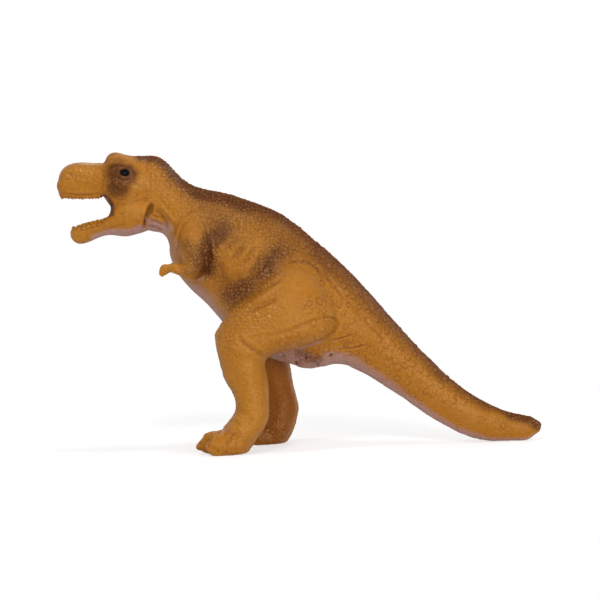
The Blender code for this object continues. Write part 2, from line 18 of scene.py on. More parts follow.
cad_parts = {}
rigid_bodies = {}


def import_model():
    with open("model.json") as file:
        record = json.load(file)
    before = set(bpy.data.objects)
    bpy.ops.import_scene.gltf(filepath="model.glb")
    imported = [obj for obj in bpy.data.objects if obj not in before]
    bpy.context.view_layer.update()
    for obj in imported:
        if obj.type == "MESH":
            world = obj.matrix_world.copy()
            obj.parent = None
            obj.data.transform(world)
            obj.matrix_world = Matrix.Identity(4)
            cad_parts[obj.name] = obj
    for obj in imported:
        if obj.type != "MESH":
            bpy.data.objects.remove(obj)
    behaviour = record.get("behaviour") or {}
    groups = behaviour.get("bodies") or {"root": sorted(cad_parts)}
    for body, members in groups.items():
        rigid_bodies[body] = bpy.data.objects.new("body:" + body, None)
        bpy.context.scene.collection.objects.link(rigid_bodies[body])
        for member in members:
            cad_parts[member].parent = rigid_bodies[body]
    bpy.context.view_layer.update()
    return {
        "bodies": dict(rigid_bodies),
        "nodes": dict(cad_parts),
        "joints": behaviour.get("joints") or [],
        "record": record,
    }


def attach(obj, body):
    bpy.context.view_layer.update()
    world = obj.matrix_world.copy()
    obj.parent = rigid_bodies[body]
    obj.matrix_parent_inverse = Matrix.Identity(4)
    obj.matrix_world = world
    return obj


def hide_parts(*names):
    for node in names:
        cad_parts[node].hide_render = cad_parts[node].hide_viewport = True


MM = 0.001
SEED = 7

# Nodes that go together
FACE = ("head", "lower_jaw")
TRUNK = ("torso", "tail")
ARMS = ("arm_left", "arm_right")
LEGS = ("leg_left", "leg_right")

# The camera that stands where the photograph was taken
CAMERA_DISTANCE = 1.0
CAMERA_ELEVATION = math.radians(2.6)
CAMERA_ROLL = math.radians(-1.66)
CAMERA_LENS = 166.7
CAMERA_SENSOR = 36.0
CAMERA_TARGET = Vector((-0.0004, 0, 0.0530))
CLIP_START = 0.01
PICTURE = 600  # pixels across
PIXEL = 0.36  # millimetres on the middle plane that one pixel of the picture shows

# The skin: lengths in millimetres, rounds of smoothing and voting, and reaches
WELD = 0.002  # corners nearer than this are one
VOXEL = 0.34
SWELL = 0.22  # closes the glued seams while the skin is made
EVEN_ROUNDS = 60
OWNER_ROUNDS = 6
OWNER_HOLD = 1.5  # the votes that a point's own node starts with
FOLD_REACH = 4  # in half widths of the line
SPRAY_REACH = 2.4  # in radii
# How far the right leg is behind the left one at these heights
STRIDE_HEIGHTS = (8.0, 12.5, 17.0, 22.0, 35.0, 41.0, 48.0, 56.0, 64.0)
STRIDES = (13.7, 10.6, 8.9, 8.3, 8.4, 7.6, 4.8, 2.6, 1.2)

# Folds, in pixels: the line's points, each across and down, then its half width; then
# millimetres: depth (a groove is negative)
HEAD_FOLDS = (
    ((60, 192.5, 68, 194, 78, 195.2, 90, 195.2, 101, 193.6), 0.9, -0.3),
    ((62, 190, 72, 191.6, 90, 191.8, 101, 190.4), 1.5, 0.14),
    ((116, 204.2, 124, 204.4, 130, 203.6, 138, 201.8, 149, 198.2), 0.9, -0.55),
    ((118, 201.6, 130, 200.8, 139, 198.6, 147, 195.4), 2, 0.2),
    ((104, 168, 106, 162, 111, 157.4, 118, 156, 126, 158.4, 133, 162.6, 138, 168), 2.4, 0.55),
    ((108, 171, 112, 166.6, 118, 165, 125, 166.2, 132, 169.5, 136, 175), 1.7, -0.42),
    ((101, 165, 102.6, 172, 103, 180, 102, 188), 2.6, -0.26),
    ((104, 180, 105, 187, 104, 193), 1.6, 0.16),
    ((62, 173, 70, 169.4, 84, 168.6, 100, 169), 2.4, 0.12),
    ((63, 182, 74, 181, 86, 181.6, 98, 184), 3, 0.10),
    ((103, 196, 106.5, 199, 109.6, 205, 112, 213), 1.3, 0.3),
    ((120, 207, 128, 207.5, 140, 205.5), 2.6, 0.14),
    ((113, 186, 122, 190, 130, 189), 2.6, -0.16),
    ((112, 178, 114, 186, 119, 193), 2, -0.16),
    ((134, 181, 138, 187, 138, 195), 2.2, -0.14),
    ((118, 178.6, 124, 180.4, 130, 178.6), 0.9, -0.2),
)
JAW_FOLDS = (
    ((77, 231.4, 86, 229.2, 96, 226.2, 109, 220), 1, -0.2),
    ((76, 233.4, 86, 231.2, 97, 228, 111, 222.4), 1.2, 0.22),
    ((80, 226, 80.6, 230.6), 0.9, -0.34),
    ((85, 225, 85.8, 229.4), 0.9, -0.34),
    ((90.2, 224, 91.2, 228.2), 0.9, -0.34),
    ((95.6, 222.6, 96.8, 226.8), 0.9, -0.34),
    ((100.8, 220, 102.2, 224.2), 0.9, -0.3),
    ((105.4, 217.4, 107, 221.4), 0.9, -0.26),
    ((72, 236, 80, 236, 90, 232.4, 104, 225, 116, 219.5), 2.2, 0.14),
    ((92, 236, 104, 230.5, 118, 225.4, 130, 224), 1.1, -0.16),
    ((121, 212, 124, 219, 123, 226), 1.8, -0.12),
    ((131, 226.5, 128, 231, 124, 233), 1.6, 0.3),
    ((146, 206, 143.6, 213, 141, 221, 139.5, 227), 2.4, 0.3),
)
NECK_FOLDS = (
    ((151.4, 202, 150, 208, 148, 214, 146, 221, 144.6, 229), 1.9, -1.3),
    ((153, 203, 152.6, 209, 151, 216), 1.4, -0.5),
    ((150.4, 168, 150.2, 184, 150.4, 198), 1.2, -0.1),
    ((145.4, 170, 146, 184, 146.4, 195), 1.2, -0.06),
    ((156, 203, 164, 208.6, 171, 216.6, 178, 226), 2, 0.5),
    ((154, 208, 160, 214, 164.6, 221, 168, 231), 2, -0.5),
    ((158, 166, 156, 178, 154.6, 190, 153.6, 200), 1.5, -0.08),
    ((163, 170, 160, 181, 157.6, 192, 156.6, 201), 1.5, -0.08),
    ((168, 175, 164.4, 186, 161, 196, 160, 204), 1.5, -0.08),
    ((173, 180, 169, 190, 165, 200, 163, 208), 1.5, -0.08),
    ((178, 185, 173.6, 195, 169.4, 205, 168, 212), 1.5, -0.08),
    ((184, 190, 179, 200, 174, 209), 1.5, -0.08),
    ((151, 214, 157, 217, 164, 219), 1.1, -0.3),
    ((149, 219.6, 157, 222, 165, 226), 1.1, -0.32),
    ((147, 225, 156, 227.4, 164, 231), 1.1, -0.32),
)
BODY_FOLDS = (
    ((183, 218, 176, 226, 172.6, 236, 172, 246, 174, 255, 179, 263), 3.4, -0.3),
    ((190, 216, 183, 225, 179.6, 236, 179, 247), 5, 0.5),
    ((196, 222, 204, 234, 208, 246, 208.6, 256, 206.6, 265, 209, 277), 2.6, -1.1),
    ((196, 226, 201, 238, 203, 250), 3, 0.3),
    ((256, 246, 250, 256, 242, 268), 2.6, -0.32),
    ((247, 243, 240, 252, 230, 262), 2.6, -0.28),
    ((252, 243, 245.5, 253, 236, 265), 2.4, 0.3),
    ((264, 250, 258, 262, 249, 275), 3, -0.26),
    ((237, 238, 228, 248, 218, 258), 2.6, -0.22),
    ((242, 240, 234, 250, 224, 260), 2.4, 0.24),
    ((228, 234, 220, 243, 213, 250), 2.8, -0.22),
    ((274, 254, 266, 270, 254, 285, 238, 298), 6.5, -0.8),
    ((221, 258, 223, 274, 228, 292), 3.4, -0.34),
    ((244, 313.5, 255, 308.8, 266, 303.6, 280, 297), 2.6, -0.6),
    ((246, 305, 259, 298.6, 272, 290.6, 288, 281), 3.4, 0.5),
    ((258, 288.6, 268, 283.4, 279, 276.4, 287, 273), 1.9, 0.42),
    ((262, 290.4, 271, 286, 283, 279.6), 1.4, -0.3),
    ((288, 262.6, 300, 261, 309, 262.4, 317, 268, 322, 278, 321, 291), 2, -0.34),
    ((292, 267, 304, 266.4, 313, 271, 316, 281), 3.4, 0.26),
    ((316, 266, 327, 277, 336, 288, 346, 301), 1.8, -0.3),
    ((240, 205, 256, 210, 270, 214, 284, 221), 3, 0.3),
    ((282, 217, 290, 226, 300, 236), 2.2, -0.22),
)
LOOP = (
    243, 338.6, 253, 337.6, 268, 335.6, 283, 332.6, 297, 327.6, 310, 321.6,
    320, 318.2, 329, 317, 336, 318.8, 338.6, 324, 335, 331, 327, 337.6,
    316, 342.6, 303, 346.4, 290, 350, 276, 353.6,
)
LEG_FOLDS = (
    (LOOP, 2, -0.22),
    (LOOP[10:26], 1.1, -0.26),
    ((256, 344, 270, 342, 286, 339, 302, 333.4, 318, 326.6, 329, 324.4), 4.2, 0.3),
    ((236, 334, 244, 343.6, 255, 351.4, 266, 357), 2.2, -0.5),
    ((226, 343, 238, 350, 250, 357), 3, 0.3),
    ((229, 364, 235, 376, 243, 388), 4, -0.24),
    ((217, 336, 219, 350, 226, 366), 3, 0.24),
    ((252, 362, 250, 376, 250, 390, 252, 404), 3.8, 0.24),
    ((235, 406, 242, 411, 249, 420, 253, 431), 3.6, -0.28),
    ((230, 417, 238, 419, 246, 425), 2, 0.36),
    ((222, 424, 229, 422), 1.6, 0.3),
    ((214, 437, 210.6, 440.6, 208.4, 445, 207.4, 450), 1.3, -0.4),
    ((218, 449, 218.4, 453), 1, -0.4),
    ((226, 450, 226.4, 454), 1, -0.35),
    ((238, 430, 231, 437, 226, 447), 1.6, -0.3),
    ((216, 428, 207, 432.6, 201, 438), 1.6, 0.4),
    ((199, 441, 203, 445), 1, -0.3),
    ((214, 446, 222, 444, 232, 446), 2, 0.2),
)
TAIL_FOLDS = (
    ((326, 341.6, 341, 338.6, 358, 332.4), 0.9, -0.42),
    ((336, 349.4, 352, 348.4, 372, 343), 0.9, -0.42),
    ((345, 299, 362, 316, 380, 336, 398, 356), 2.4, -0.2),
)
# Where each table of folds is carved
FOLDS = (
    (("head",), HEAD_FOLDS),
    (FACE, JAW_FOLDS),
    (("torso", *FACE), NECK_FOLDS),
    (TRUNK + LEGS, BODY_FOLDS),
    (("torso", *LEGS), LEG_FOLDS),
    (TRUNK + LEGS, TAIL_FOLDS),
)
# Pits of the underside, in pixels: place and radius; then millimetres: depth
PITS = (
    ((271, 354.4), 1.5, -0.7),
    ((296, 362.4), 1.6, -0.6),
    ((331, 356), 1.7, -0.6),
    ((306, 357), 1.2, -0.4),
    ((318, 363.4), 1.3, -0.4),
    ((284, 356), 1.1, -0.35),
)
# Knobs of the feet, in the same way
KNOBS = (
    ((224, 426.6), 1.9, 0.32),
    ((229.4, 429), 1.8, 0.34),
    ((234.6, 432), 1.8, 0.34),
    ((239.6, 435.4), 1.8, 0.32),
    ((244.4, 439), 1.8, 0.3),
    ((219, 431), 2.2, 0.3),
    ((212, 434.4), 2.8, 0.4),
    ((223, 436), 3.4, 0.5),
    ((205, 435.6), 2.4, 0.36),
    ((214.6, 444.6), 2.6, 0.34),
    ((222, 447), 2.6, 0.26),
    ((231, 447), 2.8, 0.24),
    ((241, 446), 2.8, 0.2),
    ((286, 388), 2.6, 0.35),
    ((276, 404), 3, 0.3),
    ((282, 421), 3, 0.35),
    ((290, 408), 2.6, 0.25),
)
# Lumps of the belly behind the legs, in the same way
LUMPS = (
    ((300, 350), 4, 0.3),
    ((311, 352), 4.4, 0.35),
    ((304, 361), 4.4, 0.35),
    ((318, 358), 4, 0.3),
    ((290, 357), 3.6, 0.25),
    ((278, 352), 3.4, 0.2),
    ((325, 364), 3.4, 0.2),
)
# Muscles: nodes, place and radius in pixels; then millimetres: height
MASSES = (
    (("torso",), (188, 236), 13, 0.7),
    (LEGS, (240, 316), 17, 0.5),
    (("torso", *LEGS), (300, 300), 20, 0.35),
    (("head",), (133, 188), 9, 0.4),
    (("head",), (116, 160), 7, 0.45),
    (FACE, (132, 214), 10, 0.3),
    (TRUNK, (313, 361), 9, 0.4),
    (("torso",), (222, 268), 12, 0.3),
    (("torso",), (250, 226), 16, 0.25),
)

# Small shifts of the outline: nodes, line and radius in pixels, then how far to the right and
# down, in pixels too
SHIFTS = (
    (("lower_jaw",), (106, 212, 108, 212), 5, (0.5, 4)),
    (("lower_jaw",), (97, 219.6, 99, 219.6), 5, (0, 1.6)),
    (("head",), (101.5, 200, 103.5, 200), 3.4, (0, -3)),
    (("head",), (62, 200, 80, 200.6, 98, 199.6), 2.4, (0, -2.4)),
    (("head",), (108, 203, 110, 205), 3.6, (1.8, 0.6)),
    (("head",), (102.4, 160, 104.4, 160), 3, (0.6, 2.6)),
    (("head",), (58, 185, 58, 187), 3.2, (-1.6, 0)),
    (("torso",), (166, 241, 166, 245), 7, (1.6, 0)),
    (("leg_left",), (205, 436, 207, 436), 4, (0, -1.4)),
    (("leg_left",), (218, 354, 218, 358), 8, (0.8, 0)),
    (("leg_left",), (225, 377, 227, 385), 5, (-1.6, 0)),
    (("leg_right",), (266, 404, 268, 416), 9, (1.8, 0)),
    (ARMS, (162, 278, 164, 278), 2.4, (0, -1.8)),
    (("leg_left",), (211, 437, 221, 435), 4.2, (0, -3.4)),
    (("leg_left",), (197, 444, 199, 446), 3.2, (-1.2, 0.8)),
    (("leg_left",), (203, 450, 207, 452), 2.4, (0.6, -1.6)),
    (("tail",), (540, 420.5, 541, 421.5), 2.6, (-1.2, 1)),
    (TRUNK, (302, 366, 310, 366), 8, (0, 2)),
    (TRUNK, (336, 366, 344, 366), 9, (0, -2.6)),
    (("tail",), (537, 417, 539, 417), 4, (0, 2.4)),
    (("tail",), (537, 430, 538, 431), 3, (1.2, 0.4)),
    (("leg_left",), (214.5, 333, 215, 335), 4, (-1.4, -0.6)),
)

# The eye, in pixels: centre, half length, half height, tilt
EYE = ((125.0, 172.4), 4.8, 3.4, math.radians(6))
EYE_CORE = 3.5  # pixels round the centre that give the drop its place and direction
EYE_FULL = 1.02  # the drop's outline, in sizes of the eye
EYE_BULGE = 0.62  # half its thickness, in millimetres
EYE_LIFT = 0.02  # its centre above the skin, in millimetres

# Sprayed brown, in pixels: points of the line, radius; then its strength
BACK_LINE = (
    143, 154, 152, 155, 158, 157.5, 166, 164, 176, 174, 188, 184, 200, 188.6,
    218, 192, 240, 198, 262, 208, 284, 216.6, 300, 228, 320, 245, 344, 266.6,
    368, 291, 392, 318, 416, 344, 440, 368, 464, 388, 488, 403.6, 512, 412.6,
    530, 417, 541, 424,
)
BROWN = (
    (BACK_LINE[:26], 8.5, 0.78),
    (BACK_LINE[24:], 8, 0.55),
    (BACK_LINE, 3.6, 0.9),
    ((318, 256, 342, 277, 366, 302, 390, 328, 414, 352, 440, 376), 8, 0.42),
    ((440, 376, 464, 395, 486, 408), 7, 0.35),
    ((172, 182, 200, 198, 240, 210, 284, 230, 330, 268), 14, 0.3),
    ((206, 204, 250, 222, 290, 250), 26, 0.27),
    ((140, 154.6, 150, 155.5, 159, 158), 4.5, 0.9),
    ((316, 262, 345, 294, 375, 328), 17, 0.2),
    ((120, 180, 116, 186), 10.5, 1),
    ((115, 176, 119, 184), 7, 0.9),
    ((122, 171, 130, 176), 9.5, 0.88),
    ((109, 171, 116, 165), 7, 0.6),
    ((115, 192, 123, 192), 7.5, 0.6),
    ((117, 173, 121, 177.5, 129, 178, 134, 173, 130, 168), 3.6, 0.85),
    ((105, 163, 110, 157, 117, 154), 2.4, 0.5),
    ((105.5, 196.5, 109, 200, 112, 206, 113, 213), 2.2, 0.7),
    ((103, 196, 106, 199, 109, 205, 111, 212), 2.4, 0.8),
    ((151, 204, 149, 213, 146, 224), 2.4, 0.6),
    # behind the arm and along its crease the brown spray is deepened with painted shade
    ((222, 232, 212, 239, 207, 250, 208, 262), 10.5, 0.95),
    ((206, 244, 207, 258, 208, 272), 5, 0.8),
    ((186, 246, 193, 258, 200, 270), 9, 0.6),
    ((210, 226, 226, 234, 238, 242), 14, 0.3),
    ((276, 254, 268, 265), 10, 0.72),
    ((262, 270, 250, 282, 242, 290), 11, 0.5),
    ((240, 290, 230, 297), 11, 0.55),
    ((284, 252, 266, 284, 240, 302), 18, 0.26),
    ((220, 272, 227, 290), 11, 0.36),
    ((234, 256, 232, 280), 17, 0.16),
    ((184, 271, 196, 277), 6, 0.55),
    ((512, 414, 527, 417, 539, 424), 7, 1),
    ((222, 453, 238, 454), 2.4, 0.4),
    ((196, 448, 200, 449), 2.6, 0.5),
)
# Darker brown on the lump of the belly under the body, in the same way
BELLY_BROWN = (((300, 353, 318, 359), 7.0, 0.6),)
# Unpainted mauve plastic, in the same way
MAUVE = (
    ((163, 236, 166, 246, 169, 256, 172, 266), 4, 0.95),
    ((172, 266, 175, 272, 179, 279, 189, 291, 200, 303, 211, 312, 222, 320), 4.2, 1),
    ((94, 238, 110, 232, 124, 233, 138, 230), 4.2, 0.9),
    ((150, 222, 158, 226, 166, 230), 5, 0.8),
    ((166, 222, 172, 228), 3.2, 0.5),
    ((256, 354, 285, 356, 318, 364, 345, 362), 6.5, 0.95),
    ((345, 364, 368, 374, 392, 389, 416, 404, 440, 420, 454, 429), 4.2, 0.9),
)
# Where the small pebbles lie, in the same way
PEBBLED = (
    (BACK_LINE[:26], 13, 0.8),
    (BACK_LINE[24:], 9, 0.4),
    ((158, 172, 172, 190, 186, 204), 12, 0.7),
    ((160, 180, 162, 200), 12, 0.4),
    ((192, 202, 214, 208, 234, 214), 12, 0.9),
    ((222, 216, 262, 226, 290, 250), 14, 0.6),
    ((188, 222, 192, 240, 198, 258), 14, 0.75),
    ((210, 240, 212, 262, 214, 278), 9, 0.8),
    ((262, 258, 250, 276, 236, 294), 14, 0.9),
    ((258, 290, 280, 278), 8, 0.8),
    ((228, 306, 240, 322, 252, 314), 14, 0.95),
    ((226, 338, 236, 352), 11, 0.7),
    ((112, 184, 118, 190), 11, 0.45),
    ((196, 268, 206, 280), 8, 0.5),
    ((285, 354, 325, 359), 8, 0.6),
    ((224, 424, 244, 440), 8, 0.5),
)
# Where the skin glints, in the same way
GLOSSY = (
    ((68, 165, 84, 163.5, 100, 164), 4, 0.9),
    ((66, 174, 84, 171, 100, 176), 9, 0.6),
    ((120, 196, 138, 190, 146, 176), 9, 0.5),
    ((104, 160, 112, 155, 120, 155), 5, 0.8),
    ((146, 158, 158, 164, 172, 182, 188, 194), 8, 0.9),
    ((192, 206, 214, 209, 234, 214), 8, 1),
    ((224, 214, 252, 224, 278, 240), 10, 0.7),
    ((280, 250, 298, 262), 7, 0.8),
    ((270, 268, 256, 276, 242, 290), 8, 0.8),
    ((222, 300, 240, 316, 262, 318, 268, 304), 12, 1),
    ((222, 340, 234, 346, 246, 352), 9, 0.9),
    ((176, 234, 182, 250, 192, 264), 9, 0.6),
    ((110, 176, 118, 192, 130, 192), 9, 0.6),
    ((216, 430, 230, 432, 244, 440), 7, 0.9),
    ((74, 236, 84, 236, 96, 230), 5, 0.6),
    ((340, 290, 380, 332, 430, 384, 470, 408), 8, 0.5),
)
# Where the ring scales lie, in the same way
RINGED = (
    ((308, 304, 322, 300, 334, 300, 343, 308, 326, 316), 9, 1),
    ((324, 282, 338, 293), 7, 0.9),
    ((262, 346, 285, 342, 305, 338, 322, 326), 8, 0.6),
    ((346, 320, 352, 330), 8, 0.7),
    ((348, 345, 372, 356, 388, 366, 408, 374), 12, 0.85),
    ((384, 346, 398, 356), 8, 0.7),
    ((414, 390, 432, 399), 8, 0.5),
    ((440, 394, 476, 416, 508, 428), 12, 0.32),
    ((186, 214, 200, 216, 216, 222), 9, 0.8),
    ((300, 232, 336, 272, 360, 300, 384, 324, 408, 349, 432, 372, 458, 392), 9, 1),
    ((224, 292, 240, 294), 9, 0.9),
    ((286, 352, 306, 354, 326, 352), 9, 0.7),
    ((240, 226, 262, 236), 10, 0.5),
    ((68, 176, 82, 179, 96, 182), 8, 0.34),
    ((122, 196, 140, 190), 6, 0.4),
    ((120, 211, 136, 217), 7, 0.42),
)

# Teeth, in pixels: the lip's edge; then millimetres: spacing and half sizes along, across, up
LIP_REACH = 2.6
RIM_POINTS = 14  # on each side of the jaw
TOOTH_SHARES = (0.7, 1.1)  # of the height
TOOTH_REACH = 0.9  # how far round a tooth the lip is searched for its height
TOOTH_INSET = 1.3  # in half sizes across
TOOTH_TAPER = 0.4
UPPER_TEETH = ((61, 197, 70, 198.4, 84, 198.8, 99, 197.6), 1.2, (0.5, 0.42, 0.78))
LOWER_TEETH = ((71, 229.5, 77, 227, 86, 224, 103, 218.6), 1.75, (0.85, 0.62, 0.72))

# Floor and light: the floor's reach and where it fades to white, in metres; its grey; how
# far it is lifted
FLOOR_REACH = 4.0
FLOOR_FADE = (0.10, 0.30)
FLOOR_COLOUR = (0.8, 0.8, 0.8, 1)
FLOOR_LIFT = 0.45
FLOOR_WHITE = 0.3  # the share of plain white near the figure, which softens the shadow

WORLD_LIGHT = 0.3  # the light that the white surroundings give
# Lamps: name, place and size in metres, watts. The first makes the glints and the shadow,
# the second lights the flank, the third the back and snout, the last the far side.
LAMPS = (
    ("key", (-0.25, -0.80, 0.66), 0.12, 2.6),
    ("fill", (0.36, -0.92, 0.20), 0.44, 4.0),
    ("top", (0.0, -0.12, 1.05), 0.15, 1.7),
    ("rear", (0.2, 0.9, 0.4), 0.8, 3.2),
)
LAMP_TARGET = Vector((0, 0, 0.05))

# Ring scales, pebbles and grain, in millimetres
RING_SPACING = 2.5
RING_RADII = (0.7, 1.3)
RING_WIDTH = 0.3
RING_DEPTH = 0.27
RING_LEAST = 0.3  # no ring lies where the table asks for less
RING_CHANCE = 0.055  # that a point is tried as a centre where rings are fully wanted
RING_WHOLE = 0.25  # the share of rings that aren't open
RING_DEEP_SIDE = -0.75 * math.pi  # an open ring is deepest below and to the rear
PEBBLE_SIZE = 1.3
PEBBLE_HEIGHT = 0.34
GRAIN_SIZE = 0.62
GRAIN_HEIGHT = 0.035
RELIEF = (0.004, 0.055)  # heights at which a hollow or a crest begins and is full

# Sizes of the shader's noise and beads, in millimetres
BROAD_SIZE = 14.0
FINE_SIZE = 1.1
SPECK_SIZE = 0.45
PATCH_SIZE = 3.2
DRIFT_SIZE = 1.6
DRIFT_REACH = 0.9
BEAD_SIZE = 1.15
BEAD_DEPTH = 0.36
GRAIN_DEPTH = 0.12

# Colours
OCHRE = (0.470, 0.188, 0.018, 1)
OCHRE_DEEP = (0.425, 0.160, 0.012, 1)
# also laid on bare crests as painted highlight
OCHRE_PALE = (0.56, 0.26, 0.05, 1)
OCHRE_SHADE = (0.27, 0.078, 0.006, 1)
BROWN_PAINT = (0.078, 0.014, 0.001, 1)
# brown worn off the crests, lightened further as painted glints
BROWN_WORN_AND_GLINT = (0.45, 0.178, 0.050, 1)
MAUVE_PLASTIC = (0.47, 0.258, 0.215, 1)
# darkens seams, grooves, folds and hollows: painted shade, partly a brown wash
LINE_BROWN = (0.20, 0.054, 0.008, 1)
# darkest in pits and sprayed hollows, as painted shade partly a brown wash, and in the line round
# the eye
PIT_BROWN = (0.045, 0.013, 0.003, 1)
WARM_GLINT = (1.0, 0.74, 0.48, 1)
EYE_BLACK = (0.0008, 0.0008, 0.001, 1)
# a faint blue painted reflection in the eye
EYE_BLUE_REFLECTION = (0.002, 0.0024, 0.0035, 1)

# Numbers that mix whole-numbered cells up for the noise
HASH_STEPS = np.array((73856093, 19349663, 83492791))
HASH_SEED = 2654435761
HASH_MIXERS = (2246822519, 3266489917)
HASH_MASK = 0xFFFFFFFF


# Small helpers


def smooth(low, high, value):
    share = np.clip((value - low) / (high - low), 0, 1)
    return share * share * (3 - 2 * share)


def bell(value, width):
    """1 where the value is 0, and next to nothing from twice the width on."""
    return np.exp(-((value / width) ** 2))


def unit(vectors):
    return vectors / np.maximum(np.linalg.norm(vectors, axis=1), 1e-12)[:, None]


def summed(index, values, count):
    return np.stack([np.bincount(index, values[:, k], count) for k in range(values.shape[1])], 1)


def camera_matrix():
    offset = Vector((0, -math.cos(CAMERA_ELEVATION), math.sin(CAMERA_ELEVATION)))
    turn = (-offset).to_track_quat("-Z", "Y").to_matrix().to_4x4()
    roll = Matrix.Rotation(CAMERA_ROLL, 4, "Z")
    return Matrix.Translation(CAMERA_TARGET + offset * CAMERA_DISTANCE) @ turn @ roll


def picture_places(points):
    """Where points, in millimetres, land on the picture, in pixels."""
    world = np.array(camera_matrix().inverted())
    local = points * MM @ world[:3, :3].T + world[:3, 3]
    scale = CAMERA_LENS / CAMERA_SENSOR * PICTURE
    across = PICTURE / 2 + local[:, 0] / -local[:, 2] * scale
    down = PICTURE / 2 - local[:, 1] / -local[:, 2] * scale
    return np.stack([across, down], 1)


def line_distance(places, line, reach):
    """The distance of each place to a line, up to reach, and how far along the line it is."""
    line = np.array(line, float).reshape(-1, 2)
    best = np.full(len(places), float(reach))
    part = np.zeros(len(places))
    near = np.flatnonzero(
        ((places > line.min(0) - reach) & (places < line.max(0) + reach)).all(1)
    )
    spots = places[near]
    lengths = np.linalg.norm(np.diff(line, axis=0), axis=1)
    total, before = lengths.sum(), 0.0
    found, share = best[near], part[near]
    for start, end, length in zip(line[:-1], line[1:], lengths):
        step = (end - start) / length
        along = np.clip((spots - start) @ step, 0, length)
        gap = np.linalg.norm(spots - start - along[:, None] * step, axis=1)
        closer = gap < found
        found[closer] = gap[closer]
        share[closer] = (before + along[closer]) / total
        before += length
    best[near], part[near] = found, share
    return best, part


def scatter(cell, seed):
    """Three numbers from 0 to 1 for each whole-numbered cell."""
    steps = cell * HASH_STEPS
    mixed = ((steps[:, 0] ^ steps[:, 1] ^ steps[:, 2]) + seed * HASH_SEED) & HASH_MASK
    numbers = []
    for turn in range(3):
        mixed = ((mixed ^ (mixed >> 15)) * HASH_MIXERS[0] + turn) & HASH_MASK
        mixed = ((mixed ^ (mixed >> 13)) * HASH_MIXERS[1]) & HASH_MASK
        numbers.append((mixed ^ (mixed >> 16)) / (HASH_MASK + 1))
    return np.stack(numbers, 1)


def cells(points, size, seed):
    """How far each point is from the nearest and second nearest of scattered centres, in cell
    sizes."""
    scaled = points / size
    base = np.floor(scaled).astype(np.int64)
    first = second = np.full(len(points), np.inf)
    for step in product((-1, 0, 1), repeat=3):
        cell = base + step
        gap = np.linalg.norm(cell + 0.1 + 0.8 * scatter(cell, seed) - scaled, axis=1)
        second = np.where(gap < first, first, np.minimum(second, gap))
        first = np.minimum(first, gap)
    return first, second


def soft_noise(points, size, seed):
    """Smooth noise from -1 to 1, with bumps of about this size."""
    scaled = points / size
    base = np.floor(scaled).astype(np.int64)
    part = scaled - base
    part = part * part * (3 - 2 * part)
    total = np.zeros(len(points))
    for corner in product((0, 1), repeat=3):
        near = np.abs(1 - np.array(corner) - part)
        share = near[:, 0] * near[:, 1] * near[:, 2]
        total += share * scatter(base + corner, seed)[:, 0]
    return 2 * total - 1


# The skin


def welded(node):
    """A node's points, normals and triangles in millimetres, its split corners joined."""
    bm = bmesh.new()
    bm.from_mesh(node.data)
    bmesh.ops.remove_doubles(bm, verts=bm.verts, dist=WELD * MM)
    bmesh.ops.triangulate(bm, faces=bm.faces)
    bm.normal_update()
    points = np.array([v.co for v in bm.verts], float) / MM
    normals = np.array([v.normal for v in bm.verts], float)
    faces = np.array([[v.index for v in f.verts] for f in bm.faces])
    bm.free()
    return points, normals, faces


def new_object(name, data):
    obj = bpy.data.objects.new(name, data)
    bpy.context.scene.collection.objects.link(obj)
    return obj


def mesh_from(bm, name, material):
    """A smooth mesh of one material from a bmesh, which is freed."""
    mesh = bpy.data.meshes.new(name)
    bm.to_mesh(mesh)
    bm.free()
    mesh.polygons.foreach_set("use_smooth", np.ones(len(mesh.polygons), bool))
    mesh.materials.append(material)
    return mesh


def remeshed(points, faces):
    """The outside of overlapping closed meshes as one mesh of even squares."""
    mesh = bpy.data.meshes.new("raw_skin")
    mesh.from_pydata((points * MM).tolist(), [], faces.tolist())
    obj = new_object("raw_skin", mesh)
    modifier = obj.modifiers.new("Even", "REMESH")
    modifier.mode = "VOXEL"
    modifier.voxel_size = VOXEL * MM
    modifier.adaptivity = 0
    graph = bpy.context.evaluated_depsgraph_get()
    made = obj.evaluated_get(graph).to_mesh()
    co = np.empty(len(made.vertices) * 3)
    made.vertices.foreach_get("co", co)
    loops = np.empty(len(made.loops), np.int64)
    made.loops.foreach_get("vertex_index", loops)
    bpy.data.objects.remove(obj)
    bpy.data.meshes.remove(mesh)
    return largest(co.reshape(-1, 3) / MM, loops.reshape(-1, 4))


def edges_of(quads):
    ends = np.concatenate([quads[:, [k, (k + 1) % 4]] for k in range(4)])
    ends = np.sort(ends, axis=1)
    count = quads.max() + 1
    key = np.unique(ends[:, 0] * count + ends[:, 1])
    return np.stack([key // count, key % count], 1)


def largest(points, quads):
    """Only the biggest connected shell, so that closed pockets inside are dropped."""
    edges = edges_of(quads)
    label = np.arange(len(points))
    while True:
        least = np.minimum(label[edges[:, 0]], label[edges[:, 1]])
        grown = label.copy()
        np.minimum.at(grown, edges[:, 0], least)
        np.minimum.at(grown, edges[:, 1], least)
        grown = grown[grown]
        if (grown == label).all():
            break
        label = grown
    kept = label == np.bincount(label).argmax()
    place = np.cumsum(kept) - 1
    quads = quads[kept[quads[:, 0]]]
    return points[kept], place[quads]


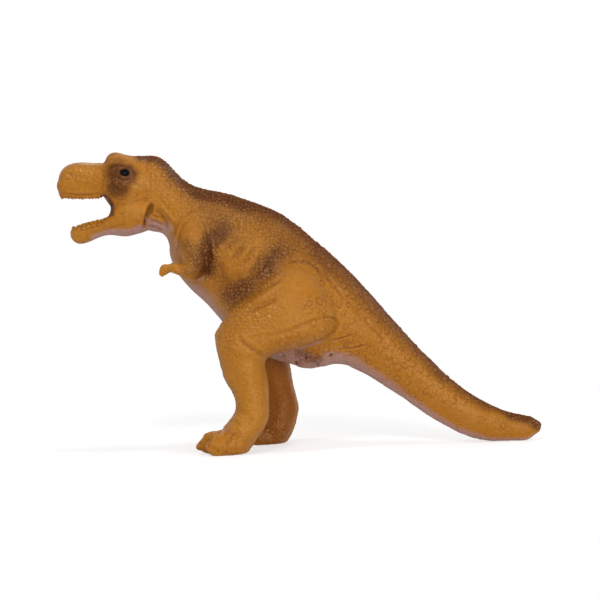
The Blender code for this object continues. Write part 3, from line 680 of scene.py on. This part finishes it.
class Skin:
    """The figure's whole surface: points in millimetres, squares, and marks at each point."""

    def __init__(self, nodes):
        self.names = sorted(nodes)
        parts = [welded(nodes[name]) for name in self.names]
        starts = np.cumsum([0] + [len(p) for p, _, _ in parts])
        swollen = np.concatenate([p + n * SWELL for p, n, _ in parts])
        plain = np.concatenate([p for p, _, _ in parts])
        faces = np.concatenate([f + s for (_, _, f), s in zip(parts, starts)])
        owner = np.concatenate([[k] * len(f) for k, (_, _, f) in enumerate(parts)])
        self.points, self.quads = remeshed(swollen, faces)
        edges = edges_of(self.quads)
        self.ends = np.concatenate([edges, edges[:, ::-1]])
        self.near = np.bincount(self.ends[:, 0], minlength=len(self.points))
        self.update()
        self.points = self.points - self.normals * SWELL
        tree = BVHTree.FromPolygons(plain.tolist(), faces.tolist())
        self.owner = owner[np.array([tree.find_nearest(p)[2] for p in self.points])]
        self.even_owners()
        self.even()
        self.update()
        self.marks = {}
        self.place()

    def update(self):
        """Normals at the points, from the squares round them."""
        corners = self.points[self.quads]
        across = corners[:, 2] - corners[:, 0]
        down = corners[:, 3] - corners[:, 1]
        faces = np.cross(across, down)
        total = np.zeros_like(self.points)
        for k in range(4):
            total += summed(self.quads[:, k], faces, len(self.points))
        self.normals = unit(total)

    def is_in(self, *names):
        return np.isin(self.owner, [self.names.index(name) for name in names])

    def push(self, rise):
        """Moves the points along their normals."""
        self.points += self.normals * rise[:, None]

    def add_mark(self, name, values):
        self.marks[name] = np.maximum(self.marks.get(name, 0), values)

    def even_owners(self):
        """Takes out the ragged edges where two nodes meet, by a vote among the neighbours."""
        first, second = self.ends.T
        count = len(self.points)
        for _ in range(OWNER_ROUNDS):
            votes = np.zeros((count, len(self.names)))
            for name in range(len(self.names)):
                votes[:, name] = np.bincount(first, self.owner[second] == name, count)
            votes[np.arange(count), self.owner] += OWNER_HOLD
            self.owner = votes.argmax(1)

    def even(self):
        """Smooths the facets away, less where the forms are small."""
        share = np.full(len(self.points), 1.0)
        share[self.is_in(*FACE)] = 0.2
        share[self.is_in(*ARMS)] = 0.3
        legs = self.is_in(*LEGS)
        share[legs] = 0.3 + 0.7 * smooth(9, 18, self.points[legs, 2])
        first, second = self.ends.T
        for _ in range(EVEN_ROUNDS):
            mean = summed(first, self.points[second], len(self.points)) / self.near[:, None]
            self.points += (0.5 * share)[:, None] * (mean - self.points)

    def spread(self, values, rounds):
        """The same smoothing, for a number at each point."""
        first, second = self.ends.T
        for _ in range(rounds):
            mean = np.bincount(first, values[second], len(self.points)) / self.near
            values = 0.5 * (values + mean)
        return values

    def place(self):
        """Where each point, or its twin on the near side, lands on the picture, and how far it
        faces outwards from the middle."""
        twin = self.points.copy()
        side = np.sign(twin[:, 1])
        side[self.is_in("leg_left", "arm_left")] = -1
        side[self.is_in("leg_right", "arm_right")] = 1
        right_leg = self.is_in("leg_right")
        twin[right_leg, 0] -= np.interp(twin[right_leg, 2], STRIDE_HEIGHTS, STRIDES)
        twin[side > 0, 1] *= -1
        self.outward = side * self.normals[:, 1]
        self.places = picture_places(twin)

    def spray(self, table):
        """A mask from 0 to 1 that is strong near the lines of a table and fades at their radius."""
        mask = np.zeros(len(self.points))
        for line, radius, strength in table:
            gap, _ = line_distance(self.places, line, SPRAY_REACH * radius)
            reached = strength * bell(gap, radius) * (gap < SPRAY_REACH * radius)
            mask = 1 - (1 - mask) * (1 - reached)
        return mask

    def fold(self, names, table):
        """Adds each groove or ridge of a table, on the outer side of these nodes. A groove has a
        low rim on both sides, and a deep, narrow one is darkened most, as painted shade with some
        brown wash."""
        seen = smooth(0.05, 0.3, self.outward) * self.is_in(*names)
        rise = np.zeros(len(self.points))
        cut = np.zeros(len(self.points))
        for line, width, depth in table:
            gap, share = line_distance(self.places, line, FOLD_REACH * width)
            ends = smooth(-0.05, 0.3, share) * smooth(-0.05, 0.3, 1 - share)
            core = bell(gap, width)
            rim = bell(gap - 2.1 * width, width) if depth < 0 else 0
            change = depth * (core - 0.22 * rim) * ends * (gap < FOLD_REACH * width)
            rise += change * seen
            if depth < 0:
                fine = min(1, -depth / 0.5) * min(1, 1.2 / width)
                cut = np.maximum(cut, core * ends * seen * fine)
        self.add_mark("cut", cut)
        self.push(rise)

    def spot(self, names, table, shade_and_stain=0):
        """Sinks or raises a small round spot for each row of a table, and darkens it by the given
        share, which is painted shade in the pits.
        """
        seen = self.is_in(*names)
        rise = np.zeros(len(self.points))
        dark = np.zeros(len(self.points))
        for place, radius, depth in table:
            core = bell(np.linalg.norm(self.places - place, axis=1), radius) * seen
            rise += depth * core
            dark = np.maximum(dark, shade_and_stain * core)
        self.add_mark("dark", dark)
        self.push(rise)

    def mass(self):
        """Swells the broad muscles."""
        for names, place, radius, rise in MASSES:
            core = bell(np.linalg.norm(self.places - place, axis=1), radius)
            seen = smooth(-0.1, 0.4, self.outward) * self.is_in(*names)
            self.push(self.spread(rise * core * seen, rounds=8))


def shift_outline(skin):
    """Moves the parts of the outline that the solids leave a pixel or two off, on both sides."""
    move = np.zeros_like(skin.points)
    for names, line, radius, (right, down) in SHIFTS:
        gap, _ = line_distance(skin.places, line, 3 * radius)
        share = bell(gap, radius) * skin.is_in(*names)
        move[:, 0] += share * right * PIXEL
        move[:, 2] -= share * down * PIXEL
    for axis in (0, 2):
        move[:, axis] = skin.spread(move[:, axis], rounds=6)
    skin.points += move


def carve_eye(skin):
    """A shallow socket with a lid and a dark line round it, on both sides of the head."""
    centre, half_length, half_height, tilt = EYE
    off = skin.places - centre
    along = (off[:, 0] * math.cos(tilt) + off[:, 1] * math.sin(tilt)) / half_length
    above = (off[:, 1] * math.cos(tilt) - off[:, 0] * math.sin(tilt)) / half_height
    gap = np.hypot(along, above)
    seen = smooth(0.2, 0.4, skin.outward) * skin.is_in("head")
    socket = -0.35 * np.exp(-((gap / 1.1) ** 4)) * seen
    lid = 0.1 * bell(gap - 1.55, 0.3) * seen
    skin.add_mark("dark", 0.75 * bell(gap - 1.12, 0.28) * seen)
    skin.push(socket + lid)


def scale_rings(skin, rng):
    """Ring-shaped scales, some whole and some open, scattered over the sides, hips and tail."""
    wanted = skin.spray(RINGED)
    face = skin.is_in(*FACE)
    wanted[face] *= smooth(0.1, 0.4, skin.outward[face])
    order = rng.permutation(np.flatnonzero(wanted > RING_LEAST))
    tree = KDTree(len(skin.points))
    for index, point in enumerate(skin.points):
        tree.insert(point, index)
    tree.balance()
    centres, by_cell = [], {}
    for index in order:
        point = skin.points[index]
        cell = tuple(np.floor(point / RING_SPACING).astype(int))
        if rng.random() > RING_CHANCE * wanted[index]:
            continue
        others = list(near_cells(by_cell, cell))
        if others and np.linalg.norm(skin.points[others] - point, axis=1).min() < RING_SPACING:
            continue
        by_cell.setdefault(cell, []).append(index)
        centres.append(index)
    rise = np.zeros(len(skin.points))
    ring = np.zeros(len(skin.points))
    for index in centres:
        centre, normal = Vector(skin.points[index]), Vector(skin.normals[index])
        radius = rng.uniform(*RING_RADII)
        start, whole = RING_DEEP_SIDE + rng.uniform(-1.0, 1.0), rng.random() < RING_WHOLE
        side = normal.cross(Vector((0, 0, 1)))
        side = side.normalized() if side.length > 0.1 else normal.orthogonal().normalized()
        up = side.cross(normal)
        found = tree.find_range(centre, radius + 3 * RING_WIDTH)
        ids = np.array([i for _, i, _ in found])
        off = skin.points[ids] - np.array(centre)
        angle = np.arctan2(off @ np.array(up), off @ np.array(side))
        uneven = 1 + 0.11 * np.sin(2 * angle + 3 * start) + 0.05 * np.sin(3 * angle + start)
        gap = np.linalg.norm(off, axis=1) * uneven
        line = bell(gap - radius, RING_WIDTH)
        if not whole:
            line = line * (0.5 + 0.5 * np.cos(angle - start)) ** 0.8
        dome = 0.4 * bell(gap, 0.75 * radius)
        depth = RING_DEPTH * min(1.0, wanted[index] + 0.3)
        rise[ids] += depth * (2 * dome - 0.7 * line)
        ring[ids] = np.maximum(ring[ids], line)
    skin.marks["ring"] = ring * np.minimum(1, wanted + 0.2)
    skin.push(rise)


def near_cells(found, cell):
    """What was put in this cell and in the 26 round it."""
    for step in product((-1, 0, 1), repeat=3):
        yield from found.get(tuple(a + b for a, b in zip(cell, step)), ())


def pebbles(skin):
    """Small domed scales with grooves between them, and a finer grain on everything."""
    top = smooth(0.45, 0.8, skin.normals[:, 2])
    top *= 0.75 * skin.is_in("torso") + 0.35 * skin.is_in("tail")
    plain = np.where(skin.is_in(*FACE), 0.1, 0.26)
    wanted = np.maximum(np.maximum(skin.spray(PEBBLED), top), plain)
    wanted[skin.is_in("head")] *= 0.75
    first, second = cells(skin.points, PEBBLE_SIZE, SEED)
    dome = smooth(0.0, 0.55, second - first)
    skin.push(PEBBLE_HEIGHT * wanted * (dome - 0.55))
    skin.marks["pebble"] = wanted
    fine, _ = cells(skin.points, GRAIN_SIZE, SEED + 3)
    skin.push(GRAIN_HEIGHT * (0.5 - fine) * (0.35 + 0.65 * wanted))


def mark_relief(skin):
    """Where the finished surface is hollow and where it stands proud: hollows take painted shade
    with some brown wash, crests take wear and painted highlight.
    """
    level = np.stack([skin.spread(skin.points[:, axis], rounds=7) for axis in range(3)], 1)
    height = ((skin.points - level) * skin.normals).sum(1)
    skin.marks["hollow"] = smooth(*RELIEF, -height) * (1 - 0.75 * skin.marks["ring"])
    skin.marks["crest"] = smooth(*RELIEF, height)


def wobble(skin):
    """The soft unevenness of a moulded skin."""
    swell = 0.13 * soft_noise(skin.points, 5.0, 11) + 0.07 * soft_noise(skin.points, 2.4, 12)
    swell[skin.is_in(*ARMS, *FACE)] *= 0.5
    skin.push(swell)


def colour_masks(skin):
    """Where the brown, the bare mauve, the gloss and the shade between the legs lie."""
    upward = skin.spread(skin.normals[:, 2], rounds=14)
    below = smooth(-0.30, -0.85, upward)
    above = smooth(0.42, 0.85, upward)
    trunk = skin.is_in(*TRUNK)
    legs = skin.is_in(*LEGS)
    brown = np.maximum(skin.spray(BROWN), above * trunk)
    brown *= 1 - 0.8 * below * trunk
    brown = np.maximum(brown, skin.spray(BELLY_BROWN) * trunk)
    mauve = skin.spray(MAUVE) * smooth(0.55, -0.1, upward)
    behind_chin = skin.is_in("lower_jaw") * smooth(90, 102, skin.places[:, 0])
    mauve = np.maximum(mauve, 0.95 * below * np.maximum(trunk, behind_chin))
    mauve[legs | skin.is_in(*ARMS)] = 0
    skin.marks["matte"] = smooth(0.4, 0.85, upward) * np.maximum(trunk, brown)
    skin.marks["inner"] = skin.spread(smooth(-0.15, -0.6, skin.outward) * legs, rounds=8)
    skin.marks["glossy"] = skin.spray(GLOSSY)
    skin.marks["brown"] = skin.spread(brown, rounds=3)
    skin.marks["mauve"] = skin.spread(mauve, rounds=3)


# Pieces


def cut_pieces(skin, materials):
    """One object for each node, which share their edge points and normals, so no seam shows."""
    face_owner = np.sort(skin.owner[skin.quads], axis=1)[:, 1]
    made = {}
    for number, name in enumerate(skin.names):
        quads = skin.quads[face_owner == number]
        used, index = np.unique(quads, return_inverse=True)
        quads = index.reshape(-1, 4)
        mesh = bpy.data.meshes.new(f"{name}_skin")
        mesh.vertices.add(len(used))
        mesh.vertices.foreach_set("co", (skin.points[used] * MM).ravel())
        mesh.loops.add(quads.size)
        mesh.loops.foreach_set("vertex_index", quads.ravel().astype(np.int32))
        mesh.polygons.add(len(quads))
        mesh.polygons.foreach_set("loop_start", np.arange(0, quads.size, 4, dtype=np.int32))
        mesh.update(calc_edges=True)
        mesh.polygons.foreach_set("use_smooth", np.ones(len(quads), bool))
        for mark, values in skin.marks.items():
            layer = mesh.attributes.new(mark, "FLOAT", "POINT")
            layer.data.foreach_set("value", values[used].astype(np.float32))
        mesh.normals_split_custom_set_from_vertices(skin.normals[used].tolist())
        mesh.materials.append(materials[name])
        obj = new_object(f"{name}_skin", mesh)
        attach(obj, "root")
        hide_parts(name)
        made[name] = obj
    return made


# Materials


class Nodes:
    """The shader nodes of a material or a world, made by short calls."""

    def __init__(self, owner):
        owner.use_nodes = True
        self.owner = owner
        self.tree = owner.node_tree
        self.shader = self.tree.nodes.get("Principled BSDF")

    def add(self, kind, **settings):
        node = self.tree.nodes.new(kind)
        for key, value in settings.items():
            setattr(node, key, value)
        return node

    def feed(self, value, socket):
        """Sets a socket to a plain value, or links another node's output to it."""
        if isinstance(value, (int, float, tuple)):
            socket.default_value = value
        else:
            self.tree.links.new(value, socket)

    def set(self, values):
        """Feeds the shader's own sockets, by their names."""
        for name, value in values.items():
            self.feed(value, self.shader.inputs[name])

    def joined(self, node, sockets, values):
        """Feeds several sockets of a node, and gives the node back."""
        for socket, value in zip(sockets, values):
            self.feed(value, socket)
        return node

    def place(self):
        return self.add("ShaderNodeTexCoord").outputs["Object"]

    def mark(self, name):
        return self.add("ShaderNodeAttribute", attribute_name=name).outputs["Fac"]

    def math(self, operation, first, second):
        node = self.add("ShaderNodeMath", operation=operation)
        return self.joined(node, node.inputs, (first, second)).outputs[0]

    def times(self, first, second):
        return self.math("MULTIPLY", first, second)

    def plus(self, first, second):
        return self.math("ADD", first, second)

    def mix(self, factor, first, second):
        node = self.add("ShaderNodeMix", data_type="RGBA")
        sockets = (node.inputs[0], node.inputs[6], node.inputs[7])
        return self.joined(node, sockets, (factor, first, second)).outputs[2]

    def blend(self, factor, first, second):
        """One shader turning into another."""
        node = self.add("ShaderNodeMixShader")
        return self.joined(node, node.inputs, (factor, first, second)).outputs[0]

    def ramp(self, value, low, high, first=0.0, last=1.0):
        node = self.add("ShaderNodeMapRange", interpolation_type="SMOOTHSTEP")
        names = ("Value", "From Min", "From Max", "To Min", "To Max")
        sockets = [node.inputs[name] for name in names]
        return self.joined(node, sockets, (value, low, high, first, last)).outputs["Result"]

    def texture(self, kind, place, size):
        node = self.add(kind)
        self.feed(place, node.inputs["Vector"])
        self.feed(1 / (size * MM), node.inputs["Scale"])
        return node

    def noise(self, place, size, detail=2.0, output="Fac"):
        node = self.texture("ShaderNodeTexNoise", place, size)
        self.feed(detail, node.inputs["Detail"])
        return node.outputs[output]

    def bump(self, height, strength, distance, below=None, invert=False):
        node = self.add("ShaderNodeBump", invert=invert)
        sockets = [node.inputs[name] for name in ("Height", "Strength", "Distance")]
        self.joined(node, sockets, (height, strength, distance * MM))
        if below is not None:
            self.feed(below, node.inputs["Normal"])
        return node.outputs["Normal"]

    def glow(self, strength):
        node = self.add("ShaderNodeEmission")
        self.feed(strength, node.inputs["Strength"])
        return node.outputs[0]

    def is_seen(self):
        """Whether the camera looks, straight or by way of gloss or glass."""
        rays = self.add("ShaderNodeLightPath").outputs
        seen = self.math("MAXIMUM", rays["Is Camera Ray"], rays["Is Glossy Ray"])
        return self.math("MAXIMUM", seen, rays["Is Transmission Ray"])


def skin_material(name):
    """Soft ochre plastic with brown spray, mauve underside, painted shade with some brown wash in
    lines and hollows, painted highlight on crests, and a satin grain.
    """
    n = Nodes(bpy.data.materials.new(name))
    place = n.place()
    broad = n.noise(place, BROAD_SIZE)
    fine = n.noise(place, FINE_SIZE, 3.0)
    speck = n.noise(place, SPECK_SIZE)
    base = n.mix(n.ramp(broad, 0.35, 0.68), OCHRE_DEEP, OCHRE)
    base = n.mix(n.ramp(fine, 0.52, 0.8, 0.0, 0.25), base, OCHRE_PALE)
    spray = n.plus(n.mark("brown"), n.ramp(fine, 0.3, 0.7, -0.08, 0.08))
    spray = n.plus(spray, n.ramp(speck, 0.3, 0.7, -0.07, 0.07))
    spray = n.ramp(spray, 0.08, 1.0, 0.0, 0.95)
    colour = n.mix(n.times(n.mark("inner"), 0.88), base, OCHRE_SHADE)
    colour = n.mix(n.ramp(n.mark("mauve"), 0.15, 0.8, 0.0, 0.95), colour, MAUVE_PLASTIC)
    colour = n.mix(spray, colour, BROWN_PAINT)
    # Beads of uneven outline, with faint painted shade in the seams between them
    drift = n.add("ShaderNodeVectorMath", operation="SCALE")
    n.feed(n.noise(place, DRIFT_SIZE, output="Color"), drift.inputs[0])
    n.feed(DRIFT_REACH * MM, drift.inputs["Scale"])
    warp = n.add("ShaderNodeVectorMath", operation="ADD")
    n.joined(warp, warp.inputs, (place, drift.outputs[0]))
    bead = n.texture("ShaderNodeTexVoronoi", warp.outputs[0], BEAD_SIZE).outputs["Distance"]
    colour = n.mix(n.ramp(bead, 0.45, 0.75, 0.0, 0.16), colour, LINE_BROWN)
    # Crests in patches, lighter: brown worn off and painted glints where it is sprayed, pale
    # painted highlight where it isn't
    proud = n.times(n.mark("crest"), n.ramp(speck, 0.36, 0.66, 0.1, 0.8))
    proud = n.times(proud, n.ramp(n.noise(place, PATCH_SIZE, 3.0), 0.4, 0.62, 0.3, 1.0))
    colour = n.mix(n.times(proud, spray), colour, BROWN_WORN_AND_GLINT)
    bare = n.plus(0.5, n.times(spray, -0.5))
    colour = n.mix(n.times(proud, bare), colour, OCHRE_PALE)
    # Darkening in the hollows, in the grooves of the ring scales, in the folds and in the pits:
    # painted shade, partly a brown wash
    for mark, share, shade_and_stain in (
        ("hollow", 0.26, LINE_BROWN),
        ("hollow", n.times(spray, 0.85), PIT_BROWN),
        ("ring", n.plus(n.times(spray, 0.5), 0.45), LINE_BROWN),
        ("cut", 0.42, LINE_BROWN),
        ("dark", 0.9, PIT_BROWN),
    ):
        colour = n.mix(n.times(n.mark(mark), share), colour, shade_and_stain)
    # Satin, glossier on pebbles and where it glints, duller on top and where it turns away
    rough = n.ramp(fine, 0.3, 0.7, 0.38, 0.48)
    for mark, change in (("pebble", -0.1), ("glossy", -0.25), ("matte", 0.5)):
        rough = n.plus(rough, n.times(n.mark(mark), change))
    turned = n.add("ShaderNodeLayerWeight").outputs["Facing"]
    rough = n.plus(rough, n.ramp(turned, 0.5, 0.95, 0.0, 0.45))
    grain = n.bump(fine, 0.4, GRAIN_DEPTH)
    strength = n.ramp(n.mark("pebble"), 0.1, 0.8, 0.45, 0.75)
    n.set({
        "Base Color": colour,
        "Roughness": rough,
        "Normal": n.bump(bead, strength, BEAD_DEPTH, grain, True),
        "Subsurface Weight": 0.25,
        "Subsurface Radius": (1.0, 0.35, 0.12),
        "Subsurface Scale": 0.6 * MM,
        "Specular IOR Level": 0.3,
        "Specular Tint": WARM_GLINT,
    })
    return n.owner


def eye_material():
    """Thick black gloss paint, with faint blue patches of painted reflection."""
    n = Nodes(bpy.data.materials.new("eye_black"))
    place = n.place()
    cloud = n.noise(place, 1.2)
    n.set({
        "Base Color": n.mix(cloud, EYE_BLACK, EYE_BLUE_REFLECTION),
        "Roughness": n.ramp(cloud, 0.3, 0.7, 0.07, 0.12),
        "Specular IOR Level": 0.05,
        "Normal": n.bump(n.noise(place, 0.9, 1.0), 0.5, 0.15),
    })
    return n.owner


# Eyes


def make_eyes(skin, material):
    """A drop of glossy black paint in each socket."""
    centre, half_length, half_height, tilt = EYE
    outer = skin.is_in("head") & (skin.outward > 0.15)
    for side, label in ((-1, "left"), (1, "right")):
        chosen = np.flatnonzero(outer & (np.sign(skin.points[:, 1]) == side))
        gaps = np.linalg.norm(skin.places[chosen] - centre, axis=1)
        close = chosen[gaps < EYE_CORE]
        spot = skin.points[close].mean(0)
        normal = Vector(skin.normals[close].mean(0)).normalized()
        bm = bmesh.new()
        bmesh.ops.create_uvsphere(bm, u_segments=48, v_segments=32, radius=1.0)
        along = Vector((1, 0, -math.tan(tilt)))
        along = (along - normal * along.dot(normal)).normalized()
        up = normal.cross(along)
        frame = Matrix((along, up, normal)).transposed()
        for vert in bm.verts:
            flat = Vector((
                vert.co.x * half_length * PIXEL * EYE_FULL,
                vert.co.y * half_height * PIXEL * EYE_FULL,
                vert.co.z * EYE_BULGE,
            ))
            vert.co = (Vector(spot) + normal * EYE_LIFT + frame @ flat) * MM
        obj = new_object(f"eye_{label}", mesh_from(bm, f"eye_{label}", material))
        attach(obj, "root")


# Teeth


def jaw_rim(skin, name, edge):
    """Points near a lip's edge, and the lip's rim in plan, from one side round the front."""
    across, down = np.array(edge).reshape(-1, 2).T
    gap = np.abs(skin.places[:, 1] - np.interp(skin.places[:, 0], across, down))
    inside = (skin.places[:, 0] > across[0] - LIP_REACH) & (skin.places[:, 0] < across[-1])
    points = skin.points[skin.is_in(name) & inside & (gap < LIP_REACH)]
    front, back = points[:, 0].min(), points[:, 0].max()
    side = []
    for share in 1 - np.cos(np.linspace(0.25, math.pi / 2, RIM_POINTS)):
        along = front + share * (back - front)
        near = np.abs(points[:, 0] - along) < 0.5
        side.append((along, np.abs(points[near, 1]).max()))
    left = [(along, -half) for along, half in reversed(side)]
    return points, np.array(left + side)


def make_teeth(skin, label, name, row, up, material, rng):
    """A row of small moulded teeth along a jaw, as one piece."""
    edge, spacing, (long, wide, tall) = row
    points, rim = jaw_rim(skin, name, edge)
    steps = np.linalg.norm(np.diff(rim, axis=0), axis=1)
    along = np.concatenate([[0], np.cumsum(steps)])
    count = int(along[-1] / spacing)
    bm = bmesh.new()
    for number in range(count + 1):
        spot = number * along[-1] / count
        x, y = np.interp(spot, along, rim[:, 0]), np.interp(spot, along, rim[:, 1])
        near = points[np.hypot(points[:, 0] - x, points[:, 1] - y) < TOOTH_REACH]
        if not len(near):
            continue
        z = near[:, 2].max() if up else near[:, 2].min()
        inward = Vector((rim[:, 0].max() - x, -y, 0)).normalized()
        centre = Vector((x, y, z)) + inward * wide * TOOTH_INSET
        size = rng.uniform(*TOOTH_SHARES)
        turn = inward.to_track_quat("Y", "Z").to_matrix().to_4x4()
        made = bmesh.ops.create_uvsphere(bm, u_segments=16, v_segments=12, radius=1.0)
        for vert in made["verts"]:
            tip = max(0, vert.co.z if up else -vert.co.z)
            slim = 1 - TOOTH_TAPER * tip * tip
            local = Vector((
                vert.co.x * long * slim, vert.co.y * wide * slim, vert.co.z * tall * size
            ))
            vert.co = (centre + turn @ local) * MM
    obj = new_object(label, mesh_from(bm, label, material))
    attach(obj, "root")


# Floor, light, camera


def make_floor():
    """Pale paper. What looks at it sees it near white, fading to white away from the figure,
    with the figure's shadow kept; for the light that it throws back it is plain pale paper."""
    n = Nodes(bpy.data.materials.new("floor_paper"))
    n.set({"Base Color": FLOOR_COLOUR, "Roughness": 1.0, "Specular IOR Level": 0.0})
    paper = n.shader.outputs[0]
    reach = n.add("ShaderNodeVectorMath", operation="LENGTH")
    n.feed(n.place(), reach.inputs[0])
    far = n.ramp(reach.outputs["Value"], *FLOOR_FADE, FLOOR_WHITE)
    lifted = n.add("ShaderNodeAddShader")
    n.joined(lifted, lifted.inputs, (paper, n.glow(FLOOR_LIFT)))
    shown = n.blend(far, lifted.outputs[0], n.glow(1.0))
    surface = n.blend(n.is_seen(), paper, shown)
    n.feed(surface, n.tree.nodes["Material Output"].inputs["Surface"])
    bm = bmesh.new()
    bmesh.ops.create_grid(bm, x_segments=2, y_segments=2, size=FLOOR_REACH)
    floor = new_object("floor", mesh_from(bm, "floor", n.owner))


def make_world():
    """White where the camera sees it, and dim for the light that it gives."""
    n = Nodes(bpy.data.worlds.new("studio"))
    bpy.context.scene.world = n.owner
    n.tree.nodes.clear()
    shaders = []
    for strength in (WORLD_LIGHT, 1.0):
        node = n.add("ShaderNodeBackground")
        n.joined(node, node.inputs, ((1, 1, 1, 1), strength))
        shaders.append(node.outputs[0])
    surface = n.blend(n.is_seen(), *shaders)
    n.feed(surface, n.add("ShaderNodeOutputWorld").inputs["Surface"])


def make_lamp(name, place, size, power):
    data = bpy.data.lights.new(name, "AREA")
    data.size = size
    data.energy = power
    lamp = new_object(name, data)
    lamp.location = place
    lamp.rotation_euler = (LAMP_TARGET - Vector(place)).to_track_quat("-Z", "Y").to_euler()


def make_camera():
    data = bpy.data.cameras.new("camera")
    data.lens = CAMERA_LENS
    data.sensor_width = CAMERA_SENSOR
    data.clip_start = CLIP_START
    camera = new_object("camera", data)
    camera.matrix_world = camera_matrix()
    bpy.context.scene.camera = camera


def main():
    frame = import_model()
    rng = np.random.default_rng(SEED)
    skin = Skin(frame["nodes"])
    wobble(skin)
    shift_outline(skin)
    skin.mass()
    skin.update()
    for names, table in FOLDS:
        skin.fold(names, table)
    skin.spot(TRUNK, PITS, 1)
    skin.spot(LEGS, KNOBS)
    skin.spot(TRUNK, LUMPS)
    carve_eye(skin)
    skin.update()
    colour_masks(skin)
    scale_rings(skin, rng)
    pebbles(skin)
    skin.update()
    mark_relief(skin)
    slots = {name: "skin_flank" for name in skin.names}
    slots.update({name: "skin_head" for name in FACE})
    slots.update({name: "skin_limb" for name in LEGS + ARMS})
    finishes = {}
    for slot in sorted(set(slots.values())):
        finishes[slot] = skin_material(f"soft_plastic_{slot}")
    pieces = cut_pieces(skin, {name: finishes[slot] for name, slot in slots.items()})
    make_eyes(skin, eye_material())
    make_teeth(skin, "upper_teeth", "head", UPPER_TEETH, False, finishes["skin_head"], rng)
    make_teeth(skin, "lower_teeth", "lower_jaw", LOWER_TEETH, True, finishes["skin_head"], rng)
    make_floor()
    make_world()
    for lamp in LAMPS:
        make_lamp(*lamp)
    make_camera()
    bpy.context.scene.view_settings.view_transform = "Standard"


main()
